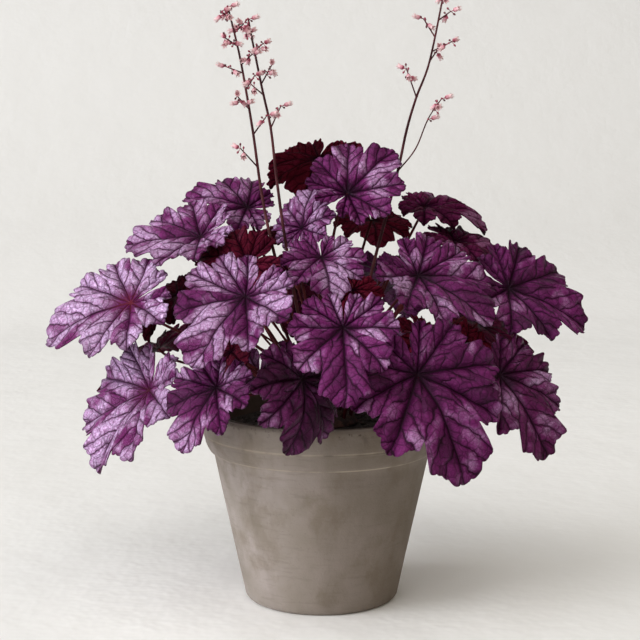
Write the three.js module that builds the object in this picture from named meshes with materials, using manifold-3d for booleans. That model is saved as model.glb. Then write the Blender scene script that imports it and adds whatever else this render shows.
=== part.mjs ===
// Potted heuchera: a clay pot of soil, a low crown, lobed leaves on thin petioles and three flower scapes.
// Millimetres and degrees, +Z up. The origin is the centre of the pot's foot, which stands on z = 0.
import * as THREE from 'three';
import { mergeVertices } from 'three/addons/utils/BufferGeometryUtils.js';
import Module from 'manifold-3d';

const wasm = await Module();
wasm.setup();

const GAP = 0.3; // clearance between neighbouring solids

// Clay pot: a tapered body under a tall collar band, with a drainage hole in its floor.
const POT_HEIGHT = 161.5;
const RIM_RADIUS = 100;
const MOUTH_RADIUS = 86.8;
const COLLAR_BOTTOM = 127.6;
const COLLAR_LEDGE_RADIUS = 94;
const BODY_TOP_RADIUS = 91.4;
const FOOT_RADIUS = 64.6;
const FOOT_SIDE_RADIUS = 65.2;
const FOOT_EDGE = 3.5;
const POT_FLOOR = 10;
const INNER_FOOT_RADIUS = 55;
const MOUTH_TAPER = 3.5; // how far the inside narrows from the mouth to the collar's bottom
const COLLAR_CURVE = 15; // height over which the collar's lower edge rounds in
const LEDGE_RISE = 0.6; // rise of the collar's underside from the body out to its edge
const LIP_ROUND = 2;
const MOUTH_ROUND = 1;
const DRAIN_RADIUS = 11;
const POT_SEGMENTS = 24;

// Soil and crown
const SOIL_TOP = 150;
const SOIL_EDGE = 147;
const SOIL_EDGE_RADIUS = 84.3;
const SOIL_SHOULDER = 149;
const SOIL_SHOULDER_RADIUS = 62;
const SOIL_FOOT_RADIUS = 54;
const CROWN_RADIUS = 31;
const CROWN_HEIGHT = 13;
const CROWN_APRON = 3; // the dome's curve would reach the soil this far outside the crown
const CROWN_RINGS = [1, 0.92, 0.7, 0.4];
const CROWN_SEGMENTS = 15;
const SOCKET_DEPTH = 7;
const SOCKET_SIDES = 4;
const SOCKET_PLAY = 1.1; // radius of a socket beyond its stem's

// Leaf lobes: bearing from the midrib, length as a share of the leaf's, and half-width in degrees.
const LOBES = [
  { bearing: 0, length: 1.0, half: 25 },
  { bearing: 44, length: 0.92, half: 19 },
  { bearing: 83, length: 0.82, half: 20 },
  { bearing: 121, length: 0.69, half: 18 },
  { bearing: 154, length: 0.56, half: 15 },
];
const SINUS_DEPTH = 0.75; // radius of the notch between lobes, as a share of the shorter lobe
const BASAL_DEPTH = 0.68; // the same beside the petiole
const SLIT_BEARING = 175.5; // edge of the narrow cleft that the petiole enters by
const SLIT_RADIUS = 0.26;
const CLEFT_RADIUS = 0.1;
// Margin of one lobe: bearing as a share of the half-width, and radius as a share of the lobe's length.
const TOOTHED_MARGIN = [[-0.78, 0.885], [-0.4, 0.91], [0, 1], [0.4, 0.91], [0.78, 0.885]];
const PLAIN_MARGIN = [[-0.64, 0.9], [0, 1], [0.64, 0.9]];
const MID_RING = 0.62;
const INNER_RING = 0.3;

// Leaf relief
const BLADE_THICKNESS = 1.0;
const FUNNEL_SLOPE = 0.3; // the blade rises by this slope round the petiole, in radians
const PLEAT = 0.035; // veins lie this share of the leaf's length below the blade, and the notches above it
const RUFFLE = 0.03;
const RUFFLE_WAVES = 5;
const RUFFLE_STEP = 2.4; // phase from one leaf to the next, in radians

const PETIOLE_RADIUS = 1.6;
const PETIOLE_SIDES = 3;
const PETIOLE_STEPS = 5;
const STALK_START = { along: 0.25, height: 0.35 }; // where a stalk heads for first, as shares of its reach
const STALK_END = 0.28; // length of its straight end, as a share of its reach
const STALK_HEADING = { up: 0.7, outward: 0.5, rise: 0.8 }; // its heading at the blade

// Leaves: petiole junction; turn, which is the yaw of the midrib from +X, its pitch and the roll of the
// blade about it; length of the middle lobe; curl of the blade per length, and extra curl towards the tip;
// width and fan of the side lobes; and the ring of the crown that the petiole grows from.
const USUAL_LEAF = { nod: 0.25, width: 0.95, fan: 0.98, ring: 0 };
const LEAVES = [
  { at: [-156, -30, 255], turn: [180, -20, -36], size: 80, curl: 0.58, nod: 0.13, width: 0.86, fan: 1 },
  { at: [-102, 15, 306], turn: [180, -10, -28], size: 66, curl: 0.24, nod: 0.28, width: 0.88, fan: 1, ring: 1 },
  { at: [-65, 70, 327], turn: [179, 16, -36], size: 59, curl: 0.72, nod: 0.14, width: 0.79, fan: 1, ring: 1 },
  { at: [-58, -115, 270], turn: [-137, -38, -19], size: 74, curl: 0.14, nod: 0.54, width: 0.86, ring: 1 },
  { at: [0, -60, 295], turn: [-77, -32, 3], size: 48, curl: 0.5, nod: 0.35, width: 0.92, ring: 2 },
  { at: [-16, 15, 313], turn: [72, 66, -21], size: 44, curl: 0.77, nod: 0.2, width: 0.98, fan: 0.9, ring: 2 },
  { at: [22, 5, 343], turn: [31, 38, 43], size: 58, curl: 0.34, nod: 0.2, width: 0.92, ring: 2 },
  { at: [91, 70, 328], turn: [-11, -5, 15], size: 61, curl: 0.98, nod: 0.19, width: 0.77, ring: 1 },
  { at: [115, 38, 300], turn: [-14, -12, 10], size: 58, curl: 0.9, ring: 1 },
  { at: [77, -65, 281], turn: [-21, -28, 21], size: 72, curl: 0.32, nod: 0.31, width: 0.97, fan: 0.93, ring: 1 },
  { at: [155, -15, 265], turn: [5, -22, 40], size: 76, curl: 0.46, nod: 0.2, width: 0.87, fan: 1 },
  { at: [16, -157, 252], turn: [-90, -53, 1], size: 64, curl: 0.41, nod: 0.43, width: 0.83, fan: 1.02, ring: 1 },
  { at: [72, -144, 215], turn: [-47, -51, 17], size: 92, curl: 0.58, nod: 0.31, width: 0.88 },
  { at: [142, -75, 203], turn: [-33, -52, 13], size: 77, curl: 0.53, nod: 0.17, width: 0.85, fan: 0.93 },
  { at: [122, 12, 212], turn: [-25, -42, 8], size: 56, curl: 0.8 },
  { at: [-138, -66, 189], turn: [-158, -54, -12], size: 79, curl: 0.18, nod: 0.31, width: 0.96, fan: 0.95 },
  { at: [-79, -140, 204], turn: [-139, -45, -10], size: 58, curl: 0.51, nod: 0.34, width: 0.86, fan: 1 },
  { at: [-15, -146, 212], turn: [-78, -58, -36], size: 62, curl: 1.07, nod: 0.3, width: 0.98, fan: 0.9 },
  { at: [-2, 74, 370], turn: [112, -26, 0], size: 60, curl: 0.9, width: 0.97, ring: 2 },
  { at: [-60, -22, 287], turn: [186, -16, -38], size: 60, curl: 0.8, ring: 2 },
  { at: [-124, 35, 255], turn: [165, -40, 10], size: 52, curl: 0.9, ring: 1 },
  { at: [44, 66, 316], turn: [78, -18, 0], size: 48, curl: 0.9, ring: 2 },
  { at: [26, -32, 266], turn: [-80, -38, 0], size: 35, curl: 0.9, ring: 1 },
  { at: [82, -55, 230], turn: [-30, -38, 0], size: 49, curl: 0.9 },
  { at: [-72, -62, 219], turn: [205, -40, 0], size: 45, curl: 0.9 },
  { at: [-28, 59, 309], turn: [110, -10, 0], size: 34, curl: 0.9, ring: 2 },
  { at: [-146, 82, 200], turn: [162, -32, 0], size: 76, curl: 0.8 },
  { at: [-58, 136, 168], turn: [108, -58, 0], size: 74, curl: 0.8 },
  { at: [-22, 140, 256], turn: [94, -34, 0], size: 80, curl: 0.8, ring: 1 },
  { at: [62, 138, 262], turn: [65, -28, 0], size: 74, curl: 0.8, ring: 1 },
  { at: [52, 140, 198], turn: [66, -45, 0], size: 78, curl: 0.8 },
  { at: [140, 88, 222], turn: [28, -35, 0], size: 78, curl: 0.8 },
];
const TOOTHED_LEAVES = 18; // the leaves from here on are inner and far-side ones with a plainer margin

// Rings of stem sockets in the crown, outermost first: the radius, and the bearing of the first socket.
const RINGS = [
  { radius: 26, start: -172 },
  { radius: 17, start: -175 },
  { radius: 9, start: -170 },
];

// Flower scapes: the route of the stem above the crown, the height on it that each side branch leaves from,
// and the branch's points, each with the number of bells it holds.
const STEM_RADIUS = 1.3;
const STEM_SIDES = 5;
const STEM_STEPS = 12;
const BRANCH_RADIUS = 0.9;
const BRANCH_SIDES = 4;
const BELL_RADIUS = 2.5;
const BELL_LENGTH = 6.5;
const BELL_SIDES = 5;
const BELL_SHOULDER = { along: 0.3, width: 0.75 };
const BELL_HOLLOW = 1.5;
const BELL_NOD = [0.3, -0.7, -0.2]; // rise of a bell's heading for its run, by turns
const PEDICEL_RADIUS = 0.4;
const PEDICEL_LENGTH = 3.5;
const PEDICEL_SPACING = 3.5;
const BELL_TURN = 2.4;
const SCAPES = [
  {
    name: 'scape_left',
    foot: [-3, -2],
    route: [
      [-18, -11, 215], [-37, -10, 285], [-49, 2, 338], [-57, 10, 393],
      [-63, 14, 429], [-69, 17, 461], [-78, 20, 498],
    ],
    branches: [
      { rise: 392, through: [[-45, 0, 408, 1]] },
      { rise: 365, through: [[-67, -4, 381, 2]] },
      { rise: 413, through: [[-70, 2, 424, 4]] },
      { rise: 429, through: [[-55, 5, 441, 1]] },
      { rise: 443, through: [[-79, 22, 448, 1]] },
      { rise: 450, through: [[-58, 27, 459, 3]] },
      { rise: 465, through: [[-80, 10, 472, 3]] },
      { rise: 476, through: [[-65, 26, 484, 3]] },
      { rise: 487, through: [[-84, 14, 494, 2]] },
    ],
    tipBells: 3,
  },
  {
    name: 'scape_back',
    foot: [1, 4],
    route: [
      [-16, 4, 225], [-30, 8, 301], [-38, 25, 355], [-43, 32, 397],
      [-50, 36, 429], [-58, 40, 468], [-62, 42, 489],
    ],
    branches: [
      { rise: 397, through: [[-34, 24, 416, 2]] },
      { rise: 425, through: [[-60, 46, 434, 1]] },
      { rise: 434, through: [[-42, 44, 451, 2]] },
      { rise: 462, through: [[-49, 30, 468, 2]] },
      { rise: 473, through: [[-67, 47, 481, 2]] },
    ],
    tipBells: 4,
  },
  {
    name: 'scape_right',
    foot: [4, -1],
    route: [
      [28, 0, 225], [48, 16, 298], [64, 22, 359], [72, 24, 396],
      [80, 26, 423], [91, 28, 453], [103, 30, 512],
    ],
    branches: [
      { rise: 361, through: [[79, 16, 380, 0], [89, 11, 405, 1], [100, 7, 422, 4]] },
      { rise: 423, through: [[71, 20, 447, 2]] },
      { rise: 453, through: [[99, 35, 464, 1]] },
      { rise: 461, through: [[109, 20, 469, 2]] },
      { rise: 473, through: [[86, 37, 489, 2]] },
      { rise: 487, through: [[108, 22, 494, 1]] },
    ],
    tipBells: 3,
  },
];

const MATERIALS = {
  pot: { color: 0x8d8478, roughness: 0.9, metalness: 0 },
  soil: { color: 0x2a211b, roughness: 1, metalness: 0 },
  crown: { color: 0x4a2c28, roughness: 0.9, metalness: 0 },
  leaf: { color: 0x6d3069, roughness: 0.5, metalness: 0 },
  flower: { color: 0xd98a96, roughness: 0.6, metalness: 0 },
};

const radians = THREE.MathUtils.degToRad;
const vector = ([x, y, z]) => new THREE.Vector3(x, y, z);

// ---- solids -------------------------------------------------------------------------------------------

function toSolid(geometry) {
  const bare = geometry.clone();
  bare.deleteAttribute('normal');
  bare.deleteAttribute('uv');
  const merged = mergeVertices(bare, 1e-4);
  const vertProperties = new Float32Array(merged.attributes.position.array);
  const triVerts = new Uint32Array(merged.index.array);
  return new wasm.Manifold(new wasm.Mesh({ numProp: 3, vertProperties, triVerts }));
}

function toGeometry(solid) {
  const mesh = solid.getMesh();
  const geometry = new THREE.BufferGeometry();
  geometry.setAttribute('position', new THREE.BufferAttribute(mesh.vertProperties, 3));
  geometry.setIndex(new THREE.BufferAttribute(mesh.triVerts, 1));
  return geometry;
}

function joined(solids) {
  return solids.reduce((whole, solid) => whole.add(solid));
}

function piece(name, solid, look) {
  const mesh = new THREE.Mesh(toGeometry(solid), new THREE.MeshStandardMaterial(look));
  mesh.name = name;
  return mesh;
}

// A turned solid about +Z from a profile of [radius, height] points, from the axis up to the axis.
function turned(profile, segments) {
  const geometry = new THREE.LatheGeometry(profile.map(([r, z]) => new THREE.Vector2(r, z)), segments);
  return geometry.rotateX(Math.PI / 2);
}

// A curve whose steps are its own points, so that a rod bends only where they stand.
class StalkLine extends THREE.Curve {
  constructor(points) {
    super();
    this.points = points;
  }

  getPoint(t) {
    const along = t * (this.points.length - 1);
    const k = Math.min(Math.floor(along), this.points.length - 2);
    return this.points[k].clone().lerp(this.points[k + 1], along - k);
  }

  getPointAt(u) {
    return this.getPoint(u);
  }

  getTangentAt(u) {
    return this.getTangent(u);
  }
}

// A rod of a few flat sides along a line of points.
function rod(points, radius, sides) {
  const section = new THREE.Shape();
  for (let i = 0; i < sides; i += 1) {
    const angle = (2 * Math.PI * i) / sides;
    const place = [radius * Math.cos(angle), radius * Math.sin(angle)];
    if (i === 0) section.moveTo(...place);
    else section.lineTo(...place);
  }
  section.closePath();
  const extrudePath = new StalkLine(points);
  const options = { steps: points.length - 1, extrudePath, bevelEnabled: false };
  return toSolid(new THREE.ExtrudeGeometry(section, options));
}

// ---- pot, soil and crown --------------------------------------------------------------------------------

function buildPot() {
  const profile = [
    [DRAIN_RADIUS, 0], [FOOT_RADIUS - FOOT_EDGE, 0], [FOOT_SIDE_RADIUS, FOOT_EDGE],
    [BODY_TOP_RADIUS, COLLAR_BOTTOM], [COLLAR_LEDGE_RADIUS, COLLAR_BOTTOM + LEDGE_RISE],
    [RIM_RADIUS - LIP_ROUND, COLLAR_BOTTOM + COLLAR_CURVE / 2], [RIM_RADIUS, COLLAR_BOTTOM + COLLAR_CURVE],
    [RIM_RADIUS, POT_HEIGHT - LIP_ROUND], [RIM_RADIUS - LIP_ROUND, POT_HEIGHT],
    [MOUTH_RADIUS + MOUTH_ROUND, POT_HEIGHT], [MOUTH_RADIUS - MOUTH_TAPER, COLLAR_BOTTOM],
    [INNER_FOOT_RADIUS, POT_FLOOR], [DRAIN_RADIUS, POT_FLOOR], [DRAIN_RADIUS, 0],
  ];
  return toSolid(turned(profile, POT_SEGMENTS));
}

function buildSoil() {
  const profile = [
    [0, POT_FLOOR + GAP], [SOIL_FOOT_RADIUS, POT_FLOOR + GAP],
    [MOUTH_RADIUS - MOUTH_TAPER - 2 * GAP, COLLAR_BOTTOM], [SOIL_EDGE_RADIUS, SOIL_EDGE],
    [SOIL_SHOULDER_RADIUS, SOIL_SHOULDER], [CROWN_RADIUS + CROWN_APRON, SOIL_TOP], [0, SOIL_TOP],
  ];
  return toSolid(turned(profile, POT_SEGMENTS));
}

function socket([x, y], bottom) {
  const height = CROWN_HEIGHT * 2;
  const radius = PETIOLE_RADIUS + SOCKET_PLAY;
  const hole = new THREE.CylinderGeometry(radius, radius, height, SOCKET_SIDES);
  return toSolid(hole.rotateX(Math.PI / 2).translate(x, y, bottom + height / 2));
}

function crownTop(radius) {
  return SOIL_TOP + GAP + CROWN_HEIGHT * Math.sqrt(1 - (radius / (CROWN_RADIUS + CROWN_APRON)) ** 2);
}

function buildCrown(feet) {
  const profile = [[0, SOIL_TOP + GAP], [CROWN_RADIUS, SOIL_TOP + GAP]];
  for (const share of CROWN_RINGS) {
    profile.push([CROWN_RADIUS * share, crownTop(CROWN_RADIUS * share)]);
  }
  profile.push([0, crownTop(0)]);
  const dome = toSolid(turned(profile, CROWN_SEGMENTS));
  return feet.reduce((whole, foot) => whole.subtract(socket(foot, socketFloor(foot))), dome);
}

function socketFloor([x, y]) {
  return Math.max(SOIL_TOP + 1, crownTop(Math.hypot(x, y)) - SOCKET_DEPTH);
}

// ---- leaves ---------------------------------------------------------------------------------------------

function bladeAxes(leaf) {
  const [yaw, pitch, roll] = leaf.turn.map(radians);
  const midrib = new THREE.Vector3(
    Math.cos(pitch) * Math.cos(yaw),
    Math.cos(pitch) * Math.sin(yaw),
    Math.sin(pitch),
  );
  const up = new THREE.Vector3(0, 0, 1).addScaledVector(midrib, -midrib.z).normalize();
  const across = new THREE.Vector3().crossVectors(up, midrib);
  return {
    midrib,
    across: across.clone().multiplyScalar(Math.cos(roll)).addScaledVector(up, Math.sin(roll)),
    up: up.clone().multiplyScalar(Math.cos(roll)).addScaledVector(across, -Math.sin(roll)),
  };
}

// Where the middle of the blade lies, at a bearing from the midrib and a share of the leaf's length.
// vein is +1 on a main vein, -1 in line with a notch and between them at the teeth.
function bladePlace(leaf, axes, { bearing, radius, vein }) {
  const curl = leaf.curl + leaf.nod * Math.cos(bearing);
  const slope = FUNNEL_SLOPE - curl * radius;
  const run = (Math.sin(FUNNEL_SLOPE) - Math.sin(slope)) / curl;
  const rise = (Math.cos(slope) - Math.cos(FUNNEL_SLOPE)) / curl;
  const ruffle = RUFFLE * radius ** 3 * Math.sin(RUFFLE_WAVES * bearing + leaf.phase);
  const height = rise - PLEAT * vein * radius + ruffle;
  return vector(leaf.at)
    .addScaledVector(axes.midrib, leaf.size * run * Math.cos(bearing))
    .addScaledVector(axes.across, leaf.size * run * Math.sin(bearing))
    .addScaledVector(axes.up, leaf.size * height);
}

// The margin as rows of bearing, radius and vein, from one side of the cleft round to the other.
function bladeMargin(leaf, teeth) {
  const mirrored = LOBES.slice(1).map((lobe) => ({ ...lobe, bearing: -lobe.bearing }));
  const lobes = [...mirrored.reverse(), ...LOBES];
  const length = (lobe) => (lobe.bearing === 0 ? 1 : lobe.length * leaf.width);
  const place = (bearing, radius, vein, ring) => ({ bearing: radians(bearing), radius, vein, ring });
  const last = lobes[lobes.length - 1];
  const basal = (last.bearing + last.half) * leaf.fan;
  const basalRadius = BASAL_DEPTH * length(last);
  const margin = [place(-180, CLEFT_RADIUS, 0, 'cleft'), place(-SLIT_BEARING, SLIT_RADIUS, -0.5, 'edge')];
  margin.push(place(-basal, basalRadius, -1, 'edge'));
  lobes.forEach((lobe, i) => {
    for (const [offset, share] of teeth) {
      const ring = offset === 0 ? 'tip' : 'edge';
      const vein = Math.cos(Math.PI * offset);
      margin.push(place((lobe.bearing + offset * lobe.half) * leaf.fan, share * length(lobe), vein, ring));
    }
    if (i === lobes.length - 1) return;
    const shorter = Math.min(length(lobe), length(lobes[i + 1]));
    margin.push(place((lobe.bearing + lobe.half) * leaf.fan, SINUS_DEPTH * shorter, -1, 'notch'));
  });
  margin.push(place(basal, basalRadius, -1, 'edge'), place(SLIT_BEARING, SLIT_RADIUS, -0.5, 'edge'));
  return margin;
}

function innerRing(margin, rings, share) {
  const kept = margin.filter(({ ring }) => rings.includes(ring));
  return kept.map((row) => ({ ...row, radius: row.radius * share }));
}

// Triangles between two rings round the junction, both sorted by bearing.
function bandFaces(outer, inner, outerStart, innerStart) {
  const faces = [];
  let i = 0;
  let j = 0;
  const bearing = (ring, k) => (k < ring.length ? ring[k].bearing : ring[0].bearing + 2 * Math.PI);
  while (i < outer.length || j < inner.length) {
    const a = outerStart + (i % outer.length);
    const b = innerStart + (j % inner.length);
    const outerFirst = bearing(outer, i + 1) <= bearing(inner, j + 1);
    const outerNext = j >= inner.length || (i < outer.length && outerFirst);
    if (outerNext) faces.push([a, outerStart + ((i + 1) % outer.length), b]);
    else faces.push([a, innerStart + ((j + 1) % inner.length), b]);
    if (outerNext) i += 1;
    else j += 1;
  }
  return faces;
}

function fanFaces(count, start, centre) {
  return Array.from({ length: count }, (_, k) => [start + k, start + ((k + 1) % count), centre]);
}

// Vertex normals of the blade's middle surface, each the mean of the faces round it.
function surfaceNormals(places, faces) {
  const normals = places.map(() => new THREE.Vector3());
  for (const [a, b, c] of faces) {
    const ab = places[b].clone().sub(places[a]);
    const ac = places[c].clone().sub(places[a]);
    const normal = ab.cross(ac);
    for (const k of [a, b, c]) normals[k].add(normal);
  }
  return normals.map((normal) => normal.normalize());
}

function buildBlade(leaf, axes) {
  const margin = bladeMargin(leaf, leaf.plain ? PLAIN_MARGIN : TOOTHED_MARGIN);
  const mid = innerRing(margin, ['tip', 'notch', 'cleft'], MID_RING);
  const inner = leaf.plain ? [] : innerRing(margin, ['tip', 'cleft'], INNER_RING);
  const rows = [...margin, ...mid, ...inner, { bearing: 0, radius: 0, vein: 0 }];
  const places = rows.map((row) => bladePlace(leaf, axes, row));
  const innerStart = margin.length + mid.length;
  const centre = rows.length - 1;
  const faces = bandFaces(margin, mid, 0, margin.length);
  if (leaf.plain) faces.push(...fanFaces(mid.length, margin.length, centre));
  else {
    faces.push(...bandFaces(mid, inner, margin.length, innerStart));
    faces.push(...fanFaces(inner.length, innerStart, centre));
  }
  const normals = surfaceNormals(places, faces);
  const half = BLADE_THICKNESS / 2;
  const skin = (side) => places.map((place, k) => place.clone().addScaledVector(normals[k], side * half));
  const under = faces.map(([a, b, c]) => [a + rows.length, c + rows.length, b + rows.length]);
  const wall = margin.flatMap((_, k) => {
    const next = (k + 1) % margin.length;
    return [[k, k + rows.length, next + rows.length], [k, next + rows.length, next]];
  });
  const geometry = new THREE.BufferGeometry().setFromPoints([...skin(1), ...skin(-1)]);
  geometry.setIndex([...faces, ...under, ...wall].flat());
  return toSolid(geometry);
}

// The straight start of a stalk, upright in its socket.
function stalkFoot(foot) {
  const start = new THREE.Vector3(foot[0], foot[1], socketFloor(foot) + GAP);
  return [start, start.clone().setZ(crownTop(Math.hypot(...foot)) + 1)];
}

// A stalk rises out of its socket and bends over to the blade that it carries.
function stalkPoints(foot, end, arrival) {
  const [start, mouth] = stalkFoot(foot);
  const reach = mouth.distanceTo(end);
  const rise = mouth.clone().lerp(end, STALK_START.along).setZ(mouth.z + reach * STALK_START.height);
  const arrive = end.clone().addScaledVector(arrival, -reach * STALK_END);
  return [start, ...new THREE.CubicBezierCurve3(mouth, rise, arrive, end).getSpacedPoints(PETIOLE_STEPS)];
}

function buildPetiole(leaf, axes, foot) {
  const end = vector(leaf.at);
  const outward = end.clone().setZ(0).normalize();
  const arrival = axes.up.clone().multiplyScalar(STALK_HEADING.up);
  arrival.addScaledVector(outward, STALK_HEADING.outward).setZ(STALK_HEADING.rise).normalize();
  return rod(stalkPoints(foot, end, arrival), PETIOLE_RADIUS, PETIOLE_SIDES);
}

function buildLeaf(leaf, foot) {
  const axes = bladeAxes(leaf);
  return buildBlade(leaf, axes).add(buildPetiole(leaf, axes, foot));
}

// ---- flower scapes --------------------------------------------------------------------------------------

// A bell and the pedicel that it hangs by are one turned solid, from the branch out to the open mouth.
function buildBell(root, heading) {
  const shoulder = PEDICEL_LENGTH + BELL_LENGTH * BELL_SHOULDER.along;
  const mouth = PEDICEL_LENGTH + BELL_LENGTH;
  const profile = [
    [0, -mouth + BELL_HOLLOW], [BELL_RADIUS, -mouth], [BELL_RADIUS * BELL_SHOULDER.width, -shoulder],
    [PEDICEL_RADIUS, 0], [0, 0],
  ];
  const turn = new THREE.Quaternion().setFromUnitVectors(new THREE.Vector3(0, 0, -1), heading);
  return toSolid(turned(profile, BELL_SIDES).applyQuaternion(turn).translate(root.x, root.y, root.z));
}

// Bells lean outwards and down round the end of a branch.
function buildCluster(end, along, count, turn) {
  const solids = [];
  for (let i = 0; i < count; i += 1) {
    const angle = turn + i * BELL_TURN;
    const nod = BELL_NOD[i % BELL_NOD.length];
    const heading = new THREE.Vector3(Math.cos(angle), Math.sin(angle), nod).normalize();
    const root = end.clone().addScaledVector(along, -PEDICEL_SPACING * i - BRANCH_RADIUS);
    solids.push(buildBell(root, heading));
  }
  return solids;
}

// The place on a line of points that rises, at a given height.
function placeAtHeight(points, height) {
  const k = points.findIndex((point, i) => i > 0 && point.z >= height);
  const share = (height - points[k - 1].z) / (points[k].z - points[k - 1].z);
  return points[k - 1].clone().lerp(points[k], share);
}

function buildScape({ foot, route, branches, tipBells }) {
  const [start, mouth] = stalkFoot(foot);
  const stem = new THREE.CatmullRomCurve3([mouth, ...route.map(vector)]).getSpacedPoints(STEM_STEPS);
  const solids = [rod([start, ...stem], STEM_RADIUS, STEM_SIDES)];
  branches.forEach(({ rise, through }, i) => {
    const root = placeAtHeight(stem, rise);
    const line = [root, ...through.map(vector)];
    solids.push(rod(line, BRANCH_RADIUS, BRANCH_SIDES));
    through.forEach((point, k) => {
      const along = line[k + 1].clone().sub(line[k]).normalize();
      solids.push(...buildCluster(line[k + 1], along, point[3], i * BELL_TURN));
    });
  });
  solids.push(...buildCluster(stem[STEM_STEPS], new THREE.Vector3(0, 0, 1), tipBells, 0));
  return joined(solids);
}

// ---- whole plant ----------------------------------------------------------------------------------------

// Petioles stand in the crown's rings in the order of their leaves' bearings, so that none crosses another.
function leafFeet(leaves) {
  const feet = [];
  RINGS.forEach(({ radius, start }, ring) => {
    const order = leaves.filter((leaf) => leaf.ring === ring);
    order.sort((a, b) => Math.atan2(a.at[1], a.at[0]) - Math.atan2(b.at[1], b.at[0]));
    order.forEach((leaf, k) => {
      const angle = radians(start + (360 * k) / order.length);
      feet[leaves.indexOf(leaf)] = [radius * Math.cos(angle), radius * Math.sin(angle)];
    });
  });
  return feet;
}

function buildPlant() {
  const plant = new THREE.Group();
  const leaves = LEAVES.map((leaf, i) => (
    { ...USUAL_LEAF, ...leaf, phase: i * RUFFLE_STEP, plain: i >= TOOTHED_LEAVES }
  ));
  const feet = leafFeet(leaves);
  plant.add(piece('pot', buildPot(), MATERIALS.pot));
  plant.add(piece('soil', buildSoil(), MATERIALS.soil));
  plant.add(piece('crown', buildCrown([...feet, ...SCAPES.map(({ foot }) => foot)]), MATERIALS.crown));
  leaves.forEach((leaf, i) => {
    plant.add(piece(`leaf_${String(i + 1).padStart(2, '0')}`, buildLeaf(leaf, feet[i]), MATERIALS.leaf));
  });
  for (const scape of SCAPES) plant.add(piece(scape.name, buildScape(scape), MATERIALS.flower));
  return plant;
}

export default buildPlant();
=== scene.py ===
"""Potted heuchera: a weathered clay pot, soil, a low crown, quilted purple leaves and three pink flower scapes.

Everything is in metres, with +Z up and the centre of the pot's foot at the origin. Each class holds the sizes
of one kind of piece, models it and dresses it. Each finish class holds the colours and grains of one surface.
"""

import logging
import math
import random
import sys
from collections.abc import Iterator, Sequence
from contextlib import contextmanager
from dataclasses import dataclass, field
from enum import Enum
from functools import cached_property

import bpy
import numpy as np
from mathutils import Matrix, Quaternion, Vector, noise


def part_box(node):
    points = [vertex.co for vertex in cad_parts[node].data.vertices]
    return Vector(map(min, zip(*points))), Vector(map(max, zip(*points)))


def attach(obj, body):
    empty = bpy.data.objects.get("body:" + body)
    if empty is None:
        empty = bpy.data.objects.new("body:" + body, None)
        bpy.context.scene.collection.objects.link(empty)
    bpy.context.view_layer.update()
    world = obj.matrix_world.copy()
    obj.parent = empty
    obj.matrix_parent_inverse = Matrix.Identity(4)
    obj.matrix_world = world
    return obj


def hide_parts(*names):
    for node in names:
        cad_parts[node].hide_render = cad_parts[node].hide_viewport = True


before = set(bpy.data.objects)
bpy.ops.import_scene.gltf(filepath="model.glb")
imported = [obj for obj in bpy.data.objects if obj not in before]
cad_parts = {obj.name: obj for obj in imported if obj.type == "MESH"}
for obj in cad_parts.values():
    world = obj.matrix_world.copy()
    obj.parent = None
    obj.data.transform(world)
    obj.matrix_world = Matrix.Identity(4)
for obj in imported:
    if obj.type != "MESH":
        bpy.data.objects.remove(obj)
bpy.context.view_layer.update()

Pair = tuple[float, float]
Trio = tuple[float, float, float]
Point = Trio
Colour = tuple[float, float, float, float]
Object = bpy.types.Object
Material = bpy.types.Material
Socket = bpy.types.NodeSocket
Feed = Socket | float | tuple

MM = 0.001
SEED = 7
NEXT_TURN = 2.4  # turn from one part to the next round a stem, in radians, close to the golden angle
LOBE_STEP = 10  # step between the vein coordinates of two neighbouring lobes
log = logging.getLogger("heuchera")


class Slot(Enum):
    """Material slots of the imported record."""

    POT = "pot"
    SOIL = "soil"
    CROWN = "crown"
    LEAF = "leaf"
    SCAPE = "scape"


# ---- modelling helpers ------------------------------------------------------------------------------------


def activate(*objects: Object) -> Object:
    """Selects these objects alone and makes the first one active.

    Args:
        *objects: The objects to select.

    Returns:
        The active object.
    """
    bpy.ops.object.select_all(action="DESELECT")
    for obj in objects:
        obj.select_set(True)
    bpy.context.view_layer.objects.active = objects[0]
    return objects[0]


def joined(objects: list[Object], name: str) -> Object:
    """Joins objects into the first one.

    Args:
        objects: The objects to join.
        name: The name that the result gets.

    Returns:
        The joined object.
    """
    whole = activate(*objects)
    if len(objects) > 1:
        bpy.ops.object.join()
    whole.name = name
    whole.data.name = name
    return whole


def dressed(parts: list[Object], material: Material) -> list[Object]:
    """Gives every part a material and returns the parts."""
    for part in parts:
        part.data.materials.append(material)
    return parts


def finished(piece: Object, slot: Slot, *nodes: str) -> Object:
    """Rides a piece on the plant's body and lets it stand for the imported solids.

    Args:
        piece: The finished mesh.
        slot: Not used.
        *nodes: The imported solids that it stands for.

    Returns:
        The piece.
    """
    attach(piece, "root")
    if nodes:
        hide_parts(*nodes)
    log.info("%s: %d faces, for %s", piece.name, len(piece.data.polygons), ", ".join(nodes) or "itself")
    return piece


@contextmanager
def editing(whole: bool = True) -> Iterator[None]:
    """Opens the active mesh for editing.

    Args:
        whole: Whether all of it is selected, or only what was selected before.
    """
    bpy.ops.object.mode_set(mode="EDIT")
    if whole:
        bpy.ops.mesh.select_all(action="SELECT")
    yield
    bpy.ops.object.mode_set(mode="OBJECT")


def face_outwards() -> None:
    """Turns every face of the mesh that is being edited outwards."""
    bpy.ops.mesh.select_all(action="SELECT")
    bpy.ops.mesh.normals_make_consistent(inside=False)


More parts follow.
